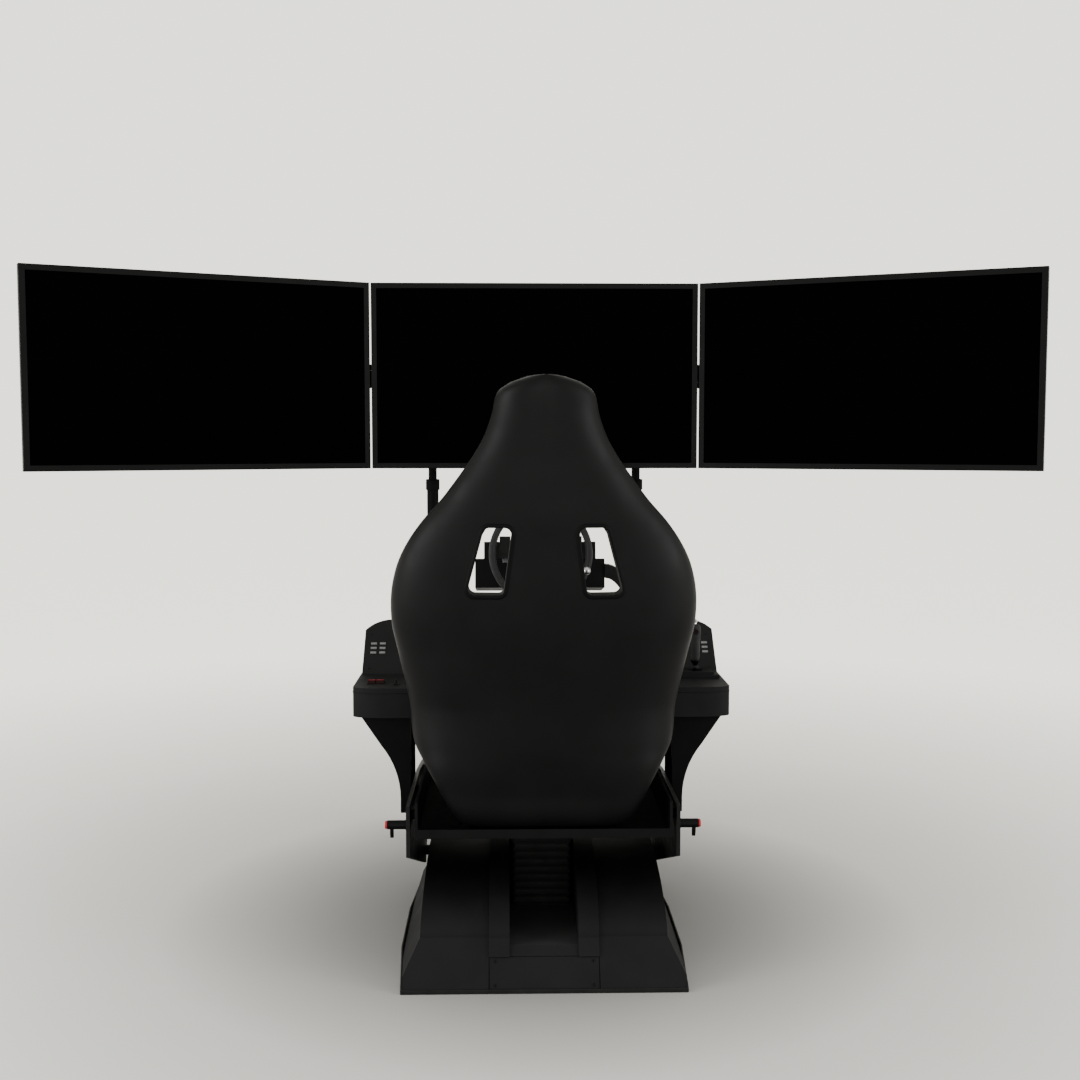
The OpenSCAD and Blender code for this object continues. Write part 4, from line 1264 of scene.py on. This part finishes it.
def make_wheel():
    """Wheel with a stitched rim, hub, paddles, spinner knob and base."""
    to_row = wheel_frame()
    bm = round_edges(cad_copy("wheel_rim"), 0.9, 40)
    paints = [STEEL_BLACK, RIM_LEATHER]
    rim = made("steering_wheel", bm, "steering_wheel", paints, ["wheel_rim"], 40)
    weighted(rim)
    back = to_row.inverted()
    ring_r = WHEEL_R - RIM_TUBE
    for face in rim.data.polygons:
        p = back @ face.center
        off = hypot(hypot(p.x, p.y) - ring_r, p.z) - RIM_TUBE
        face.material_index = 1 if -1.2 * MM < off < 0.5 * MM else 0

    stitches = []
    lift = Vector((0, 0, 2.4 * MM))
    for x, y, _ in circle(1, 120):
        out, across = Vector((x, y, 0)), Vector((-y, x, 0)) * 1.4 * MM
        centre = out * (ring_r - RIM_TUBE - 0.2 * MM)
        thread = [centre - lift - across, centre - out * 0.5 * MM, centre + lift + across]
        stitches.append(tube_mesh(thread, 0.6 * MM, 5))
    bm = merged(stitches)
    bm.transform(to_row)
    made("rim_stitches", bm, "steering_wheel", THREAD, angle=60)

    facing = to_row.to_3x3() @ UP
    spots = []
    for k in range(6):
        t = radians(60 * k + 30)
        spots.append((to_row @ Vector((24 * MM * cos(t), 24 * MM * sin(t), 4 * MM)), facing))
    screws("hub_bolts", "steering_wheel", spots, 3, SATIN)
    cap = lathe([(14, -1), (14, 2), (12.5, 3.4), (5, 4.2)], 40)
    cap.transform(to_row @ Matrix.Translation((0, 0, 4 * MM)))
    made("hub_cap", cap, "steering_wheel", CASE, angle=40)

    finished("wheel_button", 0.7, PALE, 40, 3)
    for node in ("left_paddle", "right_paddle"):
        finished(node, 0.7, PADDLE, 35)
    ball_r, ball_z = 10, 15
    arc = [radians(min(a, 88)) for a in range(-66, 91, 8)]
    ball = lathe([(4, 0), (4, 5)] + [(ball_r * cos(t), ball_z + ball_r * sin(t)) for t in arc], 48)
    on_rim = (ring_r * cos(radians(-22)), ring_r * sin(radians(-22)), RIM_TUBE + 0.4 * MM)
    ball.transform(to_row @ Matrix.Translation(on_rim))
    made("spinner_ball", ball, "spinner_knob", CHROME, ["spinner_knob"], 50)

    finished("wheel_base", 3, CASE, 30, 3)
    half_bar, low, high, pitch = 3.2 * MM, -68 * MM, -14 * MM, 12 * MM
    bars = []
    for x in [-126 * MM + pitch * k for k in range(22)]:
        bars.append(cube((x - half_bar, low, BASE_BACK - 1.4 * MM), (x + half_bar, high, BASE_BACK + 1 * MM)))
    bm = round_edges(merged(bars), 0.8)
    bm.transform(to_row)
    made("wheel_base_vents", bm, "seat_frame", STEEL_BLACK)


# ---------- joystick ----------

STICK = Vector((348, 28, 0)) * MM
PLATE_RIM_Z = DECK_Z + 7 * MM
GRIP_Z = 607 * MM
GRIP_H = 82 * MM
GRIP_PROFILE = [(0, 9.3), (0.06, 10.4), (0.2, 10.6), (0.38, 10.8), (0.52, 11.4), (0.66, 12.4), (0.8, 13),
                (0.92, 12.4), (1, 9.6)]
THUMB_Z = GRIP_Z + 66 * MM


def grip_radius(v):
    for (a, r0), (b, r1) in zip(GRIP_PROFILE, GRIP_PROFILE[1:]):
        if v <= b:
            t = (v - a) / (b - a)
            t = t * t * (3 - 2 * t)
            return (r0 + (r1 - r0) * t) * MM
    return GRIP_PROFILE[-1][1] * MM


def sculpted_grip():
    """Hand grip: oval section, palm swell behind, three finger grooves in front and a domed head."""
    rings = []
    rows, around = 72, 56
    for i in range(rows + 1):
        v = i / rows
        r = grip_radius(v)
        if v > 0.93:
            r *= sqrt(max(0.0, 1 - ((v - 0.93) / 0.07) ** 2 * 0.45))
        if v < 0.03:
            r *= 0.9 + 0.1 * sqrt(v / 0.03)
        ring = []
        for c, front, _ in circle(1, around):
            fingers = 0.0
            if v < 0.56:
                fingers = 1.2 * MM * max(0.0, front) ** 2 * (0.5 - 0.5 * cos(2 * pi * (v - 0.03) / 0.175))
            palm = 1.6 * MM * max(0.0, -front) ** 1.5 * exp(-((v - 0.36) / 0.2) ** 2)
            thumb = 1.0 * MM * max(0.0, -c) ** 3 * exp(-((v - 0.74) / 0.09) ** 2)
            radius = r - fingers + palm - thumb
            ring.append((STICK.x + radius * c * 0.95, STICK.y + radius * front * 1.06, GRIP_Z + v * GRIP_H))
        rings.append(ring)
    return solid(rings)


def make_joystick():
    """Grip halves with their holes, trigger, thumb button, hat switch, plate and boot."""
    trigger_z = GRIP_Z + 54 * MM
    head_z = GRIP_Z + GRIP_H
    gap = 0.2 * MM
    for side, name in ((-1, "grip_left"), (1, "grip_right")):
        half = as_object(sculpted_grip())
        x0, x1 = sorted((STICK.x + side * gap, STICK.x + side * 0.05))
        combine(half, cube((x0, -0.1, 0.5), (x1, 0.2, 0.8)), "INTERSECT")
        combine(half, cube((STICK.x - 4.8 * MM, STICK.y + 0.5 * MM, trigger_z - 18 * MM),
                           (STICK.x + 4.8 * MM, STICK.y + 34 * MM, trigger_z + 12 * MM)))
        combine(half, moved(lathe([(7, -8), (7, 8)], 40), STICK.x, STICK.y, head_z))
        button = lathe([(4.0, 0), (4.0, 25)])
        combine(half, turned(button, (STICK.x, STICK.y - 30 * MM, THUMB_Z), (0, 1, 0)))
        bm = round_edges(taken(half), 0.5, 50)
        made(name + "_moulding", bm, "stick", GRIP, [name], 45)

    spots = []
    for v in (0.12, 0.46):
        r = grip_radius(v) * 0.95
        spots.append(((STICK.x + r - 0.3 * MM, STICK.y, GRIP_Z + v * GRIP_H), (1, 0, 0)))
    screws("grip_screws", "stick", spots, 2)
    collar = lathe([(5.8, -3), (5.8, 0.8), (5.2, 1.3), (4.4, 0.8), (4.0, -3)], 36)
    turned(collar, (STICK.x, STICK.y - 13.2 * MM, THUMB_Z), (0, -1, 0))
    made("thumb_button_collar", collar, "stick", BOLT, angle=40)

    finished("trigger", 0.6, RED, 35, 3)
    finished("thumb_button", 0.6, ROCKER, 40, 3)
    finished("stick_shaft", 0.4, COLLAR, 45)
    finished("stick_plate", 1.4, CONSOLE, 35, 3)
    painted("gimbal_ring", STEEL_BARE)

    # castle-shaped cap of the hat switch
    profile = [(2.4, -6.5), (2.4, 3), (4, 3.6), (6.1, 9.6), (5.8, 10.5), (3.2, 9.4), (0.6, 9.2)]
    cap = as_object(moved(lathe(profile, 40), STICK.x, STICK.y, head_z), "hat_cap")
    for k in range(4):
        t = radians(45 + 90 * k)
        at = (STICK.x + 6.4 * MM * cos(t), STICK.y + 6.4 * MM * sin(t), head_z)
        combine(cap, moved(lathe([(1.3, 6), (1.3, 13)], 20), *at))
    smooth(cap.data, 35)
    place(cap, "hat_switch", SATIN, ["hat_switch"])

    spots = []
    for dx in (-38.5, 44.5):
        for dy in (-32.5, 32.5):
            spots.append(((STICK.x + dx * MM, STICK.y + dy * MM, PLATE_RIM_Z), UP))
    screws("stick_plate_screws", "seat_frame", spots, 2.2)
    # pleated rubber boot on the shaft, high enough to clear the plate at full tilt
    pleats = [(9 - 0.8 * k, 591.6 + (0.9 if k % 2 else 0) + 0.6 * k) for k in range(7)]
    wall = pleats + [(r, z - 0.7) for r, z in reversed(pleats)]
    boot = looped([circle(r * MM, 40, z * MM, STICK) for r, z in wall])
    made("stick_boot", boot, "stick", RUBBER, angle=50)


make_camera()
make_studio()
make_pedestal()
make_bellows()
make_stand()
make_screens()
make_seat_frame()
make_levers()
make_seat_shell()
make_cushions()
make_consoles()
make_wheel()
make_joystick()
